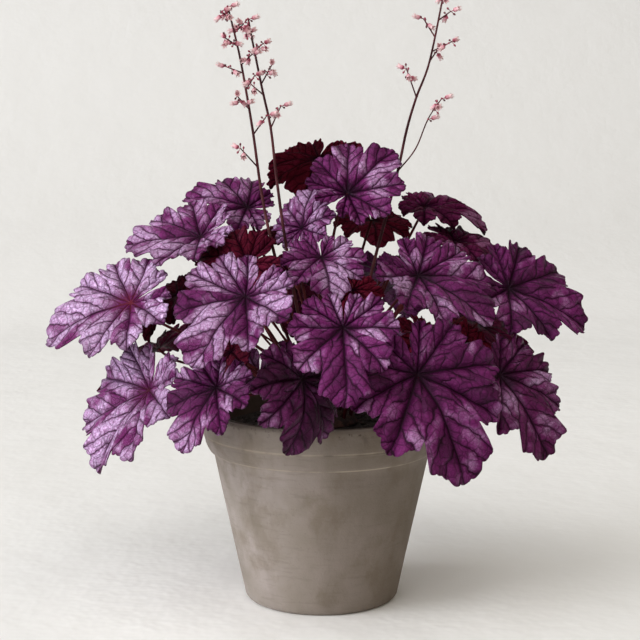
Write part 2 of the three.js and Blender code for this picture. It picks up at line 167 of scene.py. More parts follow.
def extrude_rings(section: Sequence[Pair]) -> None:
    """Extrudes the selected ring, the first of a section, through all the others.

    Args:
        section: The rings' radii and heights.
    """
    for (was_radius, was_height), (radius, height) in zip(section, section[1:]):
        bpy.ops.mesh.extrude_region_move(TRANSFORM_OT_translate={"value": (0, 0, height - was_height)})
        share = radius / was_radius
        bpy.ops.transform.resize(value=(share, share, 1), center_override=(0, 0, height))


def move_points(obj: Object, places: np.ndarray) -> None:
    """Puts the mesh's points at new places, one row for each point."""
    obj.data.vertices.foreach_set("co", places.astype(np.float32).ravel())
    obj.data.update()


def mark(obj: Object, name: str, values: float | Sequence[float]) -> None:
    """Writes a number on each point of a mesh.

    Args:
        obj: The mesh object.
        name: The attribute's name.
        values: One number for each point, or one for all.
    """
    rows = np.empty(len(obj.data.vertices), np.float32)
    rows[:] = values
    obj.data.attributes.new(name, "FLOAT", "POINT").data.foreach_set("value", rows)


def tint(obj: Object, name: str, colour: Colour) -> None:
    """Writes one colour on all the points of a mesh, as an attribute."""
    rows = np.tile(np.array(colour, np.float32), len(obj.data.vertices))
    obj.data.attributes.new(name, "FLOAT_COLOR", "POINT").data.foreach_set("color", rows)


def copied(model: Object, change: Matrix) -> Object:
    """Copies a model.

    Args:
        model: The object to copy.
        change: What moves, turns or scales the copy.

    Returns:
        The copy.
    """
    copy = bpy.data.objects.new(model.name, model.data.copy())
    bpy.context.collection.objects.link(copy)
    copy.data.transform(change)
    return copy


def pointed(start: Point, heading: Vector) -> Matrix:
    """Returns the shortest turn from one direction to another."""
    return Vector(start).rotation_difference(heading).to_matrix().to_4x4()


def polar(radius: float, angle: float, height: float = 0.0) -> Vector:
    """Returns the place at a radius, a bearing and a height."""
    return Vector((radius * math.cos(angle), radius * math.sin(angle), height))


def smoothstep(low: float, high: float, value: np.ndarray) -> np.ndarray:
    """Returns a smooth rise from 0 at low to 1 at high."""
    t = np.clip((value - low) / (high - low), 0, 1)
    return t * t * (3 - 2 * t)


def bezier(points: list[Vector], steps: int) -> list[Vector]:
    """Steps evenly along a cubic curve.

    Args:
        points: Its four points.
        steps: How many steps.

    Returns:
        The line.
    """
    a, b, c, d = points
    line = []
    for k in range(steps + 1):
        t = k / steps
        s = 1 - t
        line.append(a * s**3 + b * 3 * s * s * t + c * 3 * s * t * t + d * t**3)
    return line


def spline(points: list[Vector], steps: int) -> list[Vector]:
    """Draws a smooth line through points.

    Args:
        points: The points.
        steps: How many steps from each to the next.

    Returns:
        The line.
    """
    ends = [points[0] * 2 - points[1], *points, points[-1] * 2 - points[-2]]
    line = [points[0]]
    for a, b, c, d in zip(ends, ends[1:], ends[2:], ends[3:]):
        for k in range(1, steps + 1):
            t = k / steps
            square, cube = a * 2 - b * 5 + c * 4 - d, b * 3 - a - c * 3 + d
            line.append((b * 2 + (c - a) * t + square * t**2 + cube * t**3) / 2)
    return line


def tapered(radius: float, first: float, loss: float, line: Sequence[Vector]) -> list[float]:
    """Returns a stalk's radius at each point of its line.

    Args:
        radius: The stalk's plain radius.
        first: Its share at the first point.
        loss: How much of that share is gone at the last point.
        line: The stalk's line.

    Returns:
        The radii.
    """
    return [radius * (first - loss * k / (len(line) - 1)) for k in range(len(line))]


def rod(name: str, line: list[Vector], radii: list[float], roundness: int = 1) -> Object:
    """Models a round stalk along a line.

    Args:
        name: The stalk's name.
        line: The points that it follows.
        radii: Its radius at each point.
        roundness: Steps in a quarter of its section, less one.

    Returns:
        The stalk as a closed mesh.
    """
    curve = bpy.data.curves.new(name, "CURVE")
    curve.dimensions = "3D"
    curve.bevel_depth = 1.0
    curve.bevel_resolution = roundness
    curve.use_fill_caps = True
    path = curve.splines.new("POLY")
    path.points.add(len(line) - 1)
    for point, place, radius in zip(path.points, line, radii):
        point.co = (*place, 1.0)
        point.radius = radius
    stalk = bpy.data.objects.new(name, curve)
    bpy.context.collection.objects.link(stalk)
    activate(stalk)
    bpy.ops.object.convert(target="MESH")
    bpy.ops.object.shade_smooth()
    return bpy.context.object


# ---- finishes -----------------------------------------------------------------------------------------------


@dataclass(frozen=True)
class Grain:
    """Noise of a finish: features per metre, octaves, roughness and how its axes are stretched.

    Where it has a band, the noise rises smoothly between the band's ends, from the first level to the second.
    """

    scale: float
    detail: float = 2.0
    rough: float = 0.5
    band: Pair | None = None
    levels: Pair = (0.0, 1.0)
    stretch: Point | None = None


class Graph:
    """The shader nodes of a material or of the studio's surround."""

    def __init__(self, owner: Material | bpy.types.World) -> None:
        """Starts with no nodes.

        Args:
            owner: What the nodes belong to.
        """
        self.owner = owner
        owner.use_nodes = True
        self.tree = owner.node_tree
        self.tree.nodes.clear()

    @classmethod
    def of_material(cls, name: str) -> "Graph":
        """Returns the nodes of a new material."""
        return cls(bpy.data.materials.new(name))

    def add(self, kind: str, feeds: dict[str | int, Feed], output: str | int = 0, **settings: object) -> Socket:
        """Adds a node.

        Args:
            kind: The node's type, less the word ShaderNode.
            feeds: What goes into its inputs: a link or a plain value.
            output: Which output is wanted.
            **settings: The node's own options.

        Returns:
            That output.
        """
        node = self.tree.nodes.new(f"ShaderNode{kind}")
        for key, value in settings.items():
            setattr(node, key, value)
        for key, feed in feeds.items():
            if isinstance(feed, bpy.types.NodeSocket):
                self.tree.links.new(feed, node.inputs[key])
            else:
                node.inputs[key].default_value = feed
        return node.outputs[output]

    @cached_property
    def place(self) -> Socket:
        """Place on the object, in metres."""
        return self.add("TexCoord", {}, "Object")

    def attribute(self, name: str) -> Socket:
        """Returns a number painted on the mesh."""
        return self.add("Attribute", {}, "Fac", attribute_name=name)

    def tinted(self, name: str) -> list[Socket]:
        """Returns the three parts of a colour that tints the mesh."""
        colour = self.add("Attribute", {}, "Color", attribute_name=name)
        return list(self.add("SeparateColor", {0: colour}).node.outputs)

    def split(self, vector: Socket) -> list[Socket]:
        """Returns the three parts of a vector."""
        return list(self.add("SeparateXYZ", {0: vector}).node.outputs)

    def length(self, vector: Socket) -> Socket:
        """Returns a vector's length."""
        return self.add("VectorMath", {0: vector}, "Value", operation="LENGTH")

    def math(self, operation: str, a: Feed, b: Feed = 0.0, c: Feed = 0.0) -> Socket:
        """Returns the result of an operation on up to three numbers."""
        return self.add("Math", {0: a, 1: b, 2: c}, operation=operation)

    def times(self, a: Feed, b: Feed) -> Socket:
        """Returns the product of two numbers."""
        return self.math("MULTIPLY", a, b)

    def line(self, value: Feed, slope: Feed, start: Feed) -> Socket:
        """Returns start plus slope times value."""
        return self.math("MULTIPLY_ADD", value, slope, start)

    def greater(self, a: Feed, b: Feed) -> Socket:
        """Returns the greater of two numbers."""
        return self.math("MAXIMUM", a, b)

    def stretched(self, scale: Point) -> Socket:
        """Returns the place, scaled by axis."""
        return self.add("Mapping", {"Vector": self.place, "Scale": scale})

    def smooth(self, value: Feed, low: float, high: Feed, start: float = 0.0, end: float = 1.0) -> Socket:
        """Returns a smooth change from start at low to end at high."""
        feeds = {"Value": value, "From Min": low, "From Max": high, "To Min": start, "To Max": end}
        return self.add("MapRange", feeds, interpolation_type="SMOOTHSTEP")

    def noise(self, grain: Grain) -> Socket:
        """Adds smooth noise.

        Args:
            grain: Its scale, band and levels.

        Returns:
            The noise, from 0 to 1 or between the grain's levels.
        """
        place = self.stretched(grain.stretch) if grain.stretch else self.place
        feeds = {"Vector": place, "Scale": grain.scale, "Detail": grain.detail, "Roughness": grain.rough}
        raw = self.add("TexNoise", feeds)
        return self.smooth(raw, *grain.band, *grain.levels) if grain.band else raw

    def cells(self, vector: Socket, scale: float, feature: str = "DISTANCE_TO_EDGE") -> Socket:
        """Returns a cell pattern: the distance to the cells' edges, or to their centres."""
        return self.add("TexVoronoi", {"Vector": vector, "Scale": scale}, feature=feature)

    def mix(self, factor: Feed, a: Feed, b: Feed) -> Socket:
        """Returns a blend of two colours."""
        return self.add("Mix", {0: factor, 6: a, 7: b}, 2, data_type="RGBA")

    def bump(self, height: Socket, distance: float, strength: float = 1.0) -> Socket:
        """Returns a normal that follows a height."""
        return self.add("Bump", {"Height": height, "Distance": distance, "Strength": strength})

    def surface(self, colour: Socket, rough: Feed, normal: Socket | None = None, **more: Feed) -> Socket:
        """Returns a plain surface shader.

        Args:
            colour: Its colour.
            rough: Its roughness.
            normal: Its relief.
            **more: Further inputs, by their names with "_" for a space.

        Returns:
            The shader.
        """
        feeds = {"Base Color": colour, "Roughness": rough}
        if normal is not None:
            feeds["Normal"] = normal
        feeds |= {name.replace("_", " "): feed for name, feed in more.items()}
        return self.add("BsdfPrincipled", feeds)

    def close(self, shader: Socket) -> Material | bpy.types.World:
        """Ends the nodes.

        Args:
            shader: What the surface or the surround shows.

        Returns:
            What the nodes belong to.
        """
        kind = "World" if isinstance(self.owner, bpy.types.World) else "Material"
        end = self.tree.nodes.new(f"ShaderNodeOutput{kind}")
        self.tree.links.new(shader, end.inputs["Surface"])
        return self.owner

    def close_thin(self, skin: Socket, share: float, glow: Feed) -> Material:
        """Ends with a skin that lets a share of the light through, in the glow's colour."""
        through = self.add("BsdfTranslucent", {"Color": glow})
        return self.close(self.add("MixShader", {0: share, 1: skin, 2: through}))


@dataclass(frozen=True)
class VeinPattern:
    """Side veins of a blade, on coordinates across and along a lobe, as shares of the lobe's length."""

    slope: float = 0.95  # how much further a side vein runs along the lobe than across it
    bend: float = 0.8
    first: float = 0.10
    spacing: float = 0.20
    stagger: float = 0.45  # shift of the veins on one side, as a share of the spacing

    @property
    def steepness(self) -> float:
        """Change of the side veins' count for a step square to them."""
        return math.hypot(1, self.slope)

    def count(self, across: np.ndarray, along: np.ndarray) -> np.ndarray:
        """Numbers the side veins: whole numbers lie on a vein and halves midway between two.

        Args:
            across: Distance from the main vein, with its sign.
            along: Distance along the main vein.

        Returns:
            The number at each point.
        """
        wide = np.abs(across)
        start = along - self.slope * wide - self.bend * wide**2
        return (start - self.first) / self.spacing + self.stagger * (across > 0)


@dataclass(frozen=True)
class VeinMasks:
    """Shader outputs of the vein drawing."""

    lines: Socket
    halos: Socket
    along: Socket
    panel: Socket


@dataclass(frozen=True)
class VeinDrawing:
    """Draws the veins of a blade in its material. Widths are shares of the lobe's length."""

    pattern: VeinPattern = field(default_factory=VeinPattern)
    sway: Grain = Grain(70, 3)
    sway_size: float = 0.08  # how far a main vein wanders
    wobble: Grain = Grain(95, 3)
    wobble_size: float = 0.16  # how far a side vein wanders
    main_width: Pair = (0.0135, 0.009)  # at the lobe's foot, and what is lost of it by the tip
    main_halo: Pair = (0.062, 0.028)
    side_width: Pair = (0.0105, 0.012)  # on the main vein, and what is lost of it outwards
    side_halo: float = 0.030
    main_soft: Pair = (0.4, 1.5)  # where a line starts and ends to fade, in widths
    side_soft: Pair = (0.25, 1.0)
    side_dark: float = 0.92
    halo_darks: Pair = (0.7, 0.5)  # of the main veins and of the side veins
    bend_scale: float = 120.0
    bend_size: float = 0.006
    net_scales: Pair = (115, 330)  # cells per metre of the coarse net and of the fine one
    net_bands: tuple[Pair, Pair] = ((0.01, 0.075), (0.02, 0.16))
    net_darks: Pair = (0.62, 0.30)
    leaf_key: float = 97.0  # step of the panels' random key from leaf to leaf
    side_key: float = 5.5  # and from one side of a main vein to the other

    def wander(self, graph: Graph, grain: Grain, size: float) -> Socket:
        """Returns noise of a size, centred on zero."""
        return graph.line(graph.noise(grain), size, -size / 2)

    def count(self, graph: Graph, wide: Socket, along: Socket, side: Socket) -> Socket:
        """Numbers the side veins as the pattern does, with a wobble.

        Args:
            graph: The material's nodes.
            wide: Distance from the main vein.
            along: Distance along the main vein.
            side: 1 on one side of the main vein and 0 on the other.

        Returns:
            The number.
        """
        start = graph.line(wide, -self.pattern.slope, along)
        start = graph.line(graph.times(wide, wide), -self.pattern.bend, start)
        start = graph.math("SUBTRACT", start, self.pattern.first)
        start = graph.math("ADD", start, self.wander(graph, self.wobble, self.wobble_size))
        return graph.line(side, self.pattern.stagger, graph.math("DIVIDE", start, self.pattern.spacing))

    def net(self, graph: Graph) -> Socket:
        """Draws the net of small veins, coarse and fine.

        Args:
            graph: The material's nodes.

        Returns:
            Sharp lines.
        """
        feeds = {"Vector": graph.place, "Scale": self.bend_scale, "Detail": 2.0}
        warped = graph.add("TexNoise", feeds, "Color")
        bent = graph.add("VectorMath", {0: warped, "Scale": self.bend_size}, operation="SCALE")
        spot = graph.add("VectorMath", {0: graph.place, 1: bent}, operation="ADD")
        nets = [
            graph.smooth(graph.cells(spot, scale), *band, dark, 0)
            for scale, band, dark in zip(self.net_scales, self.net_bands, self.net_darks)
        ]
        return graph.greater(*nets)

    def draw(self, graph: Graph) -> VeinMasks:
        """Draws the veins.

        Args:
            graph: The material's nodes.

        Returns:
            Sharp lines on the veins, soft halos round them, the place along the lobe and a random tint for each
            panel between two side veins.
        """
        stacked, along, _ = graph.split(graph.add("UVMap", {}, uv_map="veins"))
        lobe = graph.math("ROUND", graph.times(stacked, 1 / LOBE_STEP))
        sway = self.wander(graph, self.sway, self.sway_size)
        across = graph.math("ADD", graph.line(lobe, -LOBE_STEP, stacked), graph.times(sway, along))
        wide = graph.math("ABSOLUTE", across)
        side = graph.math("GREATER_THAN", across, 0.0)
        count = self.count(graph, wide, along, side)

        main_width, halo_width = (graph.line(along, -loss, foot) for foot, loss in (self.main_width, self.main_halo))
        main = graph.smooth(graph.math("DIVIDE", wide, main_width), *self.main_soft, 1, 0)
        main_halo = graph.smooth(wide, 0.0, halo_width, 1, 0)
        away = graph.times(graph.math("PINGPONG", count, 0.5), self.pattern.spacing / self.pattern.steepness)
        foot, loss = self.side_width
        line = graph.smooth(graph.math("DIVIDE", away, graph.line(wide, -loss, foot)), *self.side_soft, 1, 0)
        halo = graph.smooth(away, 0.0, self.side_halo, 1, 0)
        lines = graph.greater(graph.greater(main, graph.times(line, self.side_dark)), self.net(graph))
        halos = graph.greater(graph.times(main_halo, self.halo_darks[0]), graph.times(halo, self.halo_darks[1]))

        leaf = graph.tinted("print")[0]
        key = graph.line(leaf, self.leaf_key, graph.line(side, self.side_key, lobe))
        cell = graph.add("CombineXYZ", {0: key, 1: graph.math("ROUND", graph.math("SUBTRACT", count, 0.5))})
        panel = graph.add("TexWhiteNoise", {"Vector": cell}, noise_dimensions="3D")
        return VeinMasks(lines, halos, along, panel)


@dataclass(frozen=True)
class BladeFinish:
    """Upper side of a leaf: plum flesh, a silvery bloom between the veins and near-black veins."""

    name: str = "heuchera_blade_top"
    gloss: float = 0.15
    deep: Colour = (0.030, 0.003, 0.020, 1)
    flesh: Colour = (0.205, 0.019, 0.156, 1)
    silver: Colour = (0.710, 0.510, 0.810, 1)
    gleam: Colour = (0.800, 0.560, 0.870, 1)
    maroon: Colour = (0.050, 0.004, 0.010, 1)
    blood: Colour = (0.300, 0.018, 0.030, 1)
    vein: Colour = (0.007, 0.0005, 0.004, 1)
    rib: Colour = (0.130, 0.012, 0.022, 1)
    glow: Colour = (0.42, 0.02, 0.06, 1)
    glow_share: float = 0.12
    veins: VeinDrawing = field(default_factory=VeinDrawing)
    clouds: Grain = Grain(34, 3, 0.55, band=(0.34, 0.66))
    flecks: Grain = Grain(520, 3, 0.7, band=(0.40, 0.60))
    skin: Grain = Grain(900, 2)
    sheen: Grain = Grain(160, 2, band=(0.3, 0.7), levels=(0.34, 0.46))
    bloom_band: Pair = (1.05, 1.65)
    bloom_levels: Pair = (0.02, 1.0)
    vein_dark: float = 0.94
    edge_dark: float = 0.4
    blister_scale: float = 230
    blister_depth: float = 0.42
    relief: float = 0.00095

    def bloom(self, graph: Graph, drawn: VeinMasks, clouds: Socket, silvering: Socket) -> Socket:
        """Spreads the silvery bloom.

        Args:
            graph: The material's nodes.
            drawn: The veins.
            clouds: Soft patches.
            silvering: How silvery the leaf is.

        Returns:
            How thick the bloom lies.
        """
        patches = graph.line(clouds, 0.78, graph.line(drawn.panel, 0.68, 0.05))
        bloom = graph.smooth(graph.line(silvering, 0.62, patches), *self.bloom_band, *self.bloom_levels)
        bloom = graph.times(bloom, graph.line(silvering, 0.38, 0.46))
        bloom = graph.times(bloom, graph.line(graph.noise(self.flecks), 0.50, 0.50))
        bloom = graph.times(bloom, graph.smooth(drawn.along, 0.06, 0.40))
        return graph.times(bloom, graph.math("SUBTRACT", 1.0, drawn.halos))

    def colour(self, graph: Graph, drawn: VeinMasks, bloom: Socket, clouds: Socket, tone: list[Socket]) -> Socket:
        """Mixes the skin's colour.

        Args:
            graph: The material's nodes.
            drawn: The veins.
            bloom: How thick the bloom lies.
            clouds: Soft patches.
            tone: How silvery, how light and how red the leaf is.

        Returns:
            The colour.
        """
        silvering, lightness, reddening = tone
        blush = graph.line(clouds, 0.62, graph.line(drawn.panel, 0.38, -0.22))
        flesh = graph.mix(graph.math("ADD", blush, lightness), self.deep, self.flesh)
        red = graph.mix(graph.math("ADD", lightness, graph.line(clouds, 0.2, -0.1)), self.maroon, self.blood)
        colour = graph.mix(reddening, graph.mix(bloom, flesh, self.silver), red)
        darkness = graph.smooth(silvering, 0.4, 1.4, 0.94, 0.42)
        colour = graph.mix(graph.times(drawn.halos, darkness), colour, self.vein)
        heart = graph.times(graph.smooth(drawn.along, 0.0, 0.32, 1, 0), darkness)
        colour = graph.mix(heart, colour, self.vein)
        margin = graph.smooth(graph.attribute("edge"), 0.95, 1.0, 0, self.edge_dark)
        colour = graph.mix(margin, colour, self.deep)
        ribs = graph.times(graph.smooth(drawn.along, 0.03, 0.35, 0.9, 0), graph.smooth(silvering, 0.9, 1.4))
        return graph.mix(graph.times(drawn.lines, self.vein_dark), colour, graph.mix(ribs, self.vein, self.rib))

    def make(self) -> Material:
        """Returns the material."""
        graph = Graph.of_material(self.name)
        drawn = self.veins.draw(graph)
        clouds = graph.noise(self.clouds)
        tone = graph.tinted("tone")
        bloom = self.bloom(graph, drawn, clouds, tone[0])
        colour = self.colour(graph, drawn, bloom, clouds, tone)
        blisters = graph.cells(graph.place, self.blister_scale, "SMOOTH_F1")
        height = graph.math("SUBTRACT", graph.times(blisters, -self.blister_depth), drawn.halos)
        height = graph.line(drawn.lines, -0.35, height)
        height = graph.line(graph.noise(self.skin), 0.10, height)
        leaf = graph.surface(
            colour, graph.noise(self.sheen), graph.bump(height, self.relief), Metallic=graph.times(bloom, 0.20),
            Specular_Tint=self.gleam, Specular_IOR_Level=self.gloss,
        )
        return graph.close_thin(leaf, self.glow_share, graph.mix(0.55, colour, self.glow))


@dataclass(frozen=True)
class UndersideFinish:
    """Underside of a leaf: blood red between paler raised veins."""

    flesh: Colour = (0.120, 0.008, 0.022, 1)
    shade: Colour = (0.045, 0.004, 0.014, 1)
    vein: Colour = (0.190, 0.030, 0.040, 1)
    glow: Colour = (0.45, 0.02, 0.05, 1)
    glow_share: float = 0.16
    gloss: float = 0.02
    veins: VeinDrawing = field(default_factory=VeinDrawing)
    clouds: Grain = Grain(60, 3)
    skin: Grain = Grain(300, 2)
    relief: float = 0.0006

    def make(self) -> Material:
        """Returns the material."""
        graph = Graph.of_material("heuchera_blade_under")
        drawn = self.veins.draw(graph)
        colour = graph.mix(graph.noise(self.clouds), self.shade, self.flesh)
        colour = graph.mix(graph.times(drawn.lines, 0.6), colour, self.vein)
        normal = graph.bump(graph.line(drawn.lines, 0.8, graph.noise(self.skin)), self.relief)
        rough = graph.smooth(drawn.halos, 0, 1, 0.62, 0.5)
        leaf = graph.surface(colour, rough, normal, Specular_IOR_Level=self.gloss)
        return graph.close_thin(leaf, self.glow_share, graph.mix(0.5, colour, self.glow))


@dataclass(frozen=True)
class StalkFinish:
    """Petioles and flower stems: dark maroon, paler where the skin is thin, with a fine grain along them."""

    name: str
    dark: Colour
    light: Colour
    gloss: float = 0.05
    bands: Grain = Grain(45, 2, band=(0.35, 0.7))
    fibres: Grain = Grain(900, 2, stretch=(1, 1, 0.12))
    relief: float = 0.0002

    def make(self) -> Material:
        """Returns the material."""
        graph = Graph.of_material(self.name)
        fibres = graph.noise(self.fibres)
        colour = graph.mix(graph.noise(self.bands), self.dark, self.light)
        colour = graph.mix(graph.times(fibres, 0.35), colour, self.dark)
        rough = graph.smooth(fibres, 0.2, 0.8, 0.38, 0.58)
        normal = graph.bump(fibres, self.relief)
        return graph.close(graph.surface(colour, rough, normal, Specular_IOR_Level=self.gloss))


def hairs_finish(name: str) -> Material:
    """Returns the material of the fine hairs on a stalk."""
    return StalkFinish(name, (0.200, 0.090, 0.100, 1), (0.420, 0.260, 0.270, 1)).make()


@dataclass(frozen=True)
class BellFinish:
    """Flower bells: rose at the base, blush at the mouth, with darker mottling."""

    bud: Colour = (0.090, 0.014, 0.024, 1)
    base: Colour = (0.340, 0.055, 0.100, 1)
    body: Colour = (0.740, 0.370, 0.440, 1)
    mouth: Colour = (0.860, 0.640, 0.660, 1)
    reaches: tuple[Pair, Pair, Pair] = ((-0.4, 0.0), (0.0, 0.35), (0.35, 0.9))  # where each colour takes over
    mottle: Grain = Grain(700, 2)
    glow_share: float = 0.25

    def make(self) -> Material:
        """Returns the material."""
        graph = Graph.of_material("heuchera_bell")
        along = graph.attribute("reach")
        mottle = graph.noise(self.mottle)
        colour = self.bud
        for reach, following in zip(self.reaches, (self.base, self.body, self.mouth)):
            colour = graph.mix(graph.smooth(along, *reach), colour, following)
        colour = graph.mix(graph.smooth(mottle, 0.45, 0.8, 0, 0.5), colour, self.base)
        petal = graph.surface(colour, graph.smooth(mottle, 0.2, 0.8, 0.45, 0.65))
        return graph.close_thin(petal, self.glow_share, colour)


@dataclass(frozen=True)
class ClayFinish:
    """Weathered clay: grey brown, mottled, with dark smudges that run down, pale worn edges, painted shade on its
    right side and a collar darkened partly by damp and partly by painted shade.
    """

    clay: Colour = (0.272, 0.236, 0.206, 1)
    pale: Colour = (0.385, 0.338, 0.320, 1)
    dark: Colour = (0.125, 0.100, 0.074, 1)
    worn: Colour = (0.430, 0.370, 0.295, 1)
    # colour of the painted shade on the right side, and of the collar's damp and painted shade
    damp_and_shade: Colour = (0.120, 0.089, 0.061, 1)
    stain: Colour = (0.185, 0.150, 0.112, 1)
    chip: Colour = (0.020, 0.014, 0.010, 1)
    earth: Colour = (0.040, 0.022, 0.014, 1)
    clouds: Grain = Grain(16, 4, 0.6, band=(0.32, 0.68))
    stains: Grain = Grain(24, 6, 0.62, band=(0.48, 0.66), levels=(0, 0.60), stretch=(1, 1, 0.75))
    smudges: Grain = Grain(30, 4, 0.6, band=(0.44, 0.70), stretch=(1, 1, 0.22))
    specks: Grain = Grain(520, 3, 0.7, band=(0.60, 0.74))
    wear: Grain = Grain(60, 3, band=(0.30, 0.60))
    rings: Grain = Grain(340, 3, 0.6, stretch=(0.12, 0.12, 1))  # marks of the thrower's fingers
    spatter: Grain = Grain(300, 4, 0.7, band=(0.56, 0.66))
    grit: Grain = Grain(1500, 2, 0.6)
    pores: Grain = Grain(260, 4, 0.65)
    painted_shade_side: Pair = (-0.080, 0.045)  # from left to right, where the painted shade of the pot's right side sets in and is full
    painted_shade_share: float = 0.58
    collar_edge: Pair = (0.1262, 0.1282)  # heights between which the collar darkens, partly damp clay and partly painted shade under the leaves
    collar_share: float = 0.22
    soiled_rim: Pair = (0.1535, 0.1600)  # heights between which soil sticks to the rim
    soiled_floor: Pair = (0.005, 0.012)  # and between which the soil inside the pot starts
    inner_slope: float = 0.214  # how much the inner wall widens upwards
    inner_wall: Pair = (0.0575, 0.0600)  # radii at its foot, soiled inside the first and clean outside the second
    relief: float = 0.0005

    def weathered(self, graph: Graph, clouds: Socket, across: Socket, height: Socket) -> Socket:
        """Mixes the mottled clay with painted shade on its right side, a collar darkened by damp and painted shade,
        stains, smudges and specks.

        Args:
            graph: The material's nodes.
            clouds: Soft patches.
            across: Distance to the right of the axis.
            height: Height above the foot.

        Returns:
            The colour.
        """
        colour = graph.mix(clouds, self.clay, self.pale)
        colour = graph.mix(graph.noise(self.stains), colour, self.stain)
        # painted shade: the clay darkens towards the right, away from the window
        painted_side_shade = graph.smooth(graph.line(clouds, 0.012, across), *self.painted_shade_side, 0, self.painted_shade_share)
        collar = graph.smooth(height, *self.collar_edge, 0, self.collar_share)
        colour = graph.mix(graph.greater(painted_side_shade, graph.line(painted_side_shade, 0.6, collar)), colour, self.damp_and_shade)
        colour = graph.mix(graph.times(graph.noise(self.smudges), 0.30), colour, self.dark)
        return graph.mix(graph.times(graph.noise(self.specks), 0.35), colour, self.dark)

    def soiled(self, graph: Graph, colour: Socket, height: Socket) -> Socket:
        """Adds the soil that sticks to the rim and to the inner wall.

        Args:
            graph: The material's nodes.
            colour: The clay's colour.
            height: Height above the foot.

        Returns:
            The colour.
        """
        soil = graph.times(graph.smooth(height, *self.soiled_rim), graph.noise(self.spatter))
        colour = graph.mix(graph.times(soil, 0.75), colour, self.earth)
        radius = graph.length(graph.stretched((1, 1, 0)))
        inward = graph.line(height, -self.inner_slope, radius)
        inside = graph.times(graph.smooth(inward, *self.inner_wall, 0.9, 0), graph.smooth(height, *self.soiled_floor))
        return graph.mix(inside, colour, self.earth)

    def make(self) -> Material:
        """Returns the material."""
        graph = Graph.of_material("weathered_clay")
        across, _, height = graph.split(graph.place)
        clouds = graph.noise(self.clouds)
        rings = graph.noise(self.rings)
        colour = self.weathered(graph, clouds, across, height)
        worn = graph.times(graph.attribute("worn"), graph.noise(self.wear))
        colour = graph.mix(graph.times(worn, 0.8), colour, self.worn)
        colour = graph.mix(graph.attribute("chipped"), colour, self.chip)
        colour = graph.mix(graph.smooth(rings, 0.52, 0.72, 0, 0.22), colour, self.dark)
        colour = self.soiled(graph, colour, height)
        grain = graph.line(graph.noise(self.grit), 0.3, graph.noise(self.pores))
        normal = graph.bump(graph.line(rings, 0.35, grain), self.relief)
        rough = graph.smooth(clouds, 0, 1, 0.78, 0.92)
        return graph.close(graph.surface(colour, rough, normal, Specular_IOR_Level=0.35))


@dataclass(frozen=True)
class EarthFinish:
    """Damp potting soil, bark and the crown's old leaf bases."""

    name: str = "potting_soil"
    dark: Colour = (0.010, 0.006, 0.004, 1)
    light: Colour = (0.040, 0.025, 0.016, 1)
    clumps: Grain = Grain(130, 4, 0.7)
    grains: Grain = Grain(900, 3, 0.7)
    relief: float = 0.003

    def make(self) -> Material:
        """Returns the material."""
        graph = Graph.of_material(self.name)
        clumps, grains = graph.noise(self.clumps), graph.noise(self.grains)
        colour = graph.mix(graph.smooth(clumps, 0.42, 0.75), self.dark, self.light)
        normal = graph.bump(graph.line(grains, 0.5, clumps), self.relief)
        return graph.close(graph.surface(colour, graph.smooth(grains, 0.2, 0.8, 0.8, 1.0), normal))


@dataclass(frozen=True)
class BackdropFinish:
    """Off-white painted cloth of the studio sweep, with a painted pool of light round the pot and painted shade on
    the wall.
    """

    paint: Colour = (0.800, 0.804, 0.812, 1)
    shade: Colour = (0.780, 0.782, 0.788, 1)
    # painted light: a brighter floor round the pot, where the leaves overhead keep light off
    centre: Colour = (0.985, 0.985, 0.985, 1)
    # painted shade: the wall is painted darker than the floor, to even out the light that falls on it
    wall: Colour = (0.684, 0.685, 0.688, 1)
    clouds: Grain = Grain(3.0, 4, 0.55, band=(0.35, 0.65))
    weave: Grain = Grain(9, 4, 0.6)
    light_pool_edge: Pair = (0.11, 0.29)  # radii between which the painted pool of light round the pot fades out
    wall_shade_edge: Pair = (-0.05, 0.18)  # heights between which the floor's paint turns into the wall's darker paint, a painted shade

    def make(self) -> Material:
        """Returns the material."""
        graph = Graph.of_material("studio_cloth")
        colour = graph.mix(graph.noise(self.clouds), self.shade, self.paint)
        # painted light: the floor is brightened round the pot
        middle = graph.smooth(graph.length(graph.place), *self.light_pool_edge, 0.95, 0)
        colour = graph.mix(middle, colour, self.centre)
        # painted shade: the wall turns darker than the floor
        colour = graph.mix(graph.smooth(graph.split(graph.place)[2], *self.wall_shade_edge), colour, self.wall)
        normal = graph.bump(graph.noise(self.weave), 0.01, 0.4)
        return graph.close(graph.surface(colour, 0.95, normal, Specular_IOR_Level=0.1))


# ---- studio -------------------------------------------------------------------------------------------------


@dataclass(frozen=True)
class Lamp:
    """Soft square light: where it hangs and points, its side in metres, its power in watts and its colour."""

    name: str
    place: Point
    target: Point
    size: float
    power: float
    colour: Trio

    def hang(self) -> None:
        """Adds the light."""
        bpy.ops.object.light_add(type="AREA", location=self.place)
        lamp = bpy.context.object
        lamp.name = self.name
        lamp.data.size = self.size
        lamp.data.energy = self.power
        lamp.data.color = self.colour
        lamp.rotation_euler = (Vector(self.target) - Vector(self.place)).to_track_quat("-Z", "Y").to_euler()


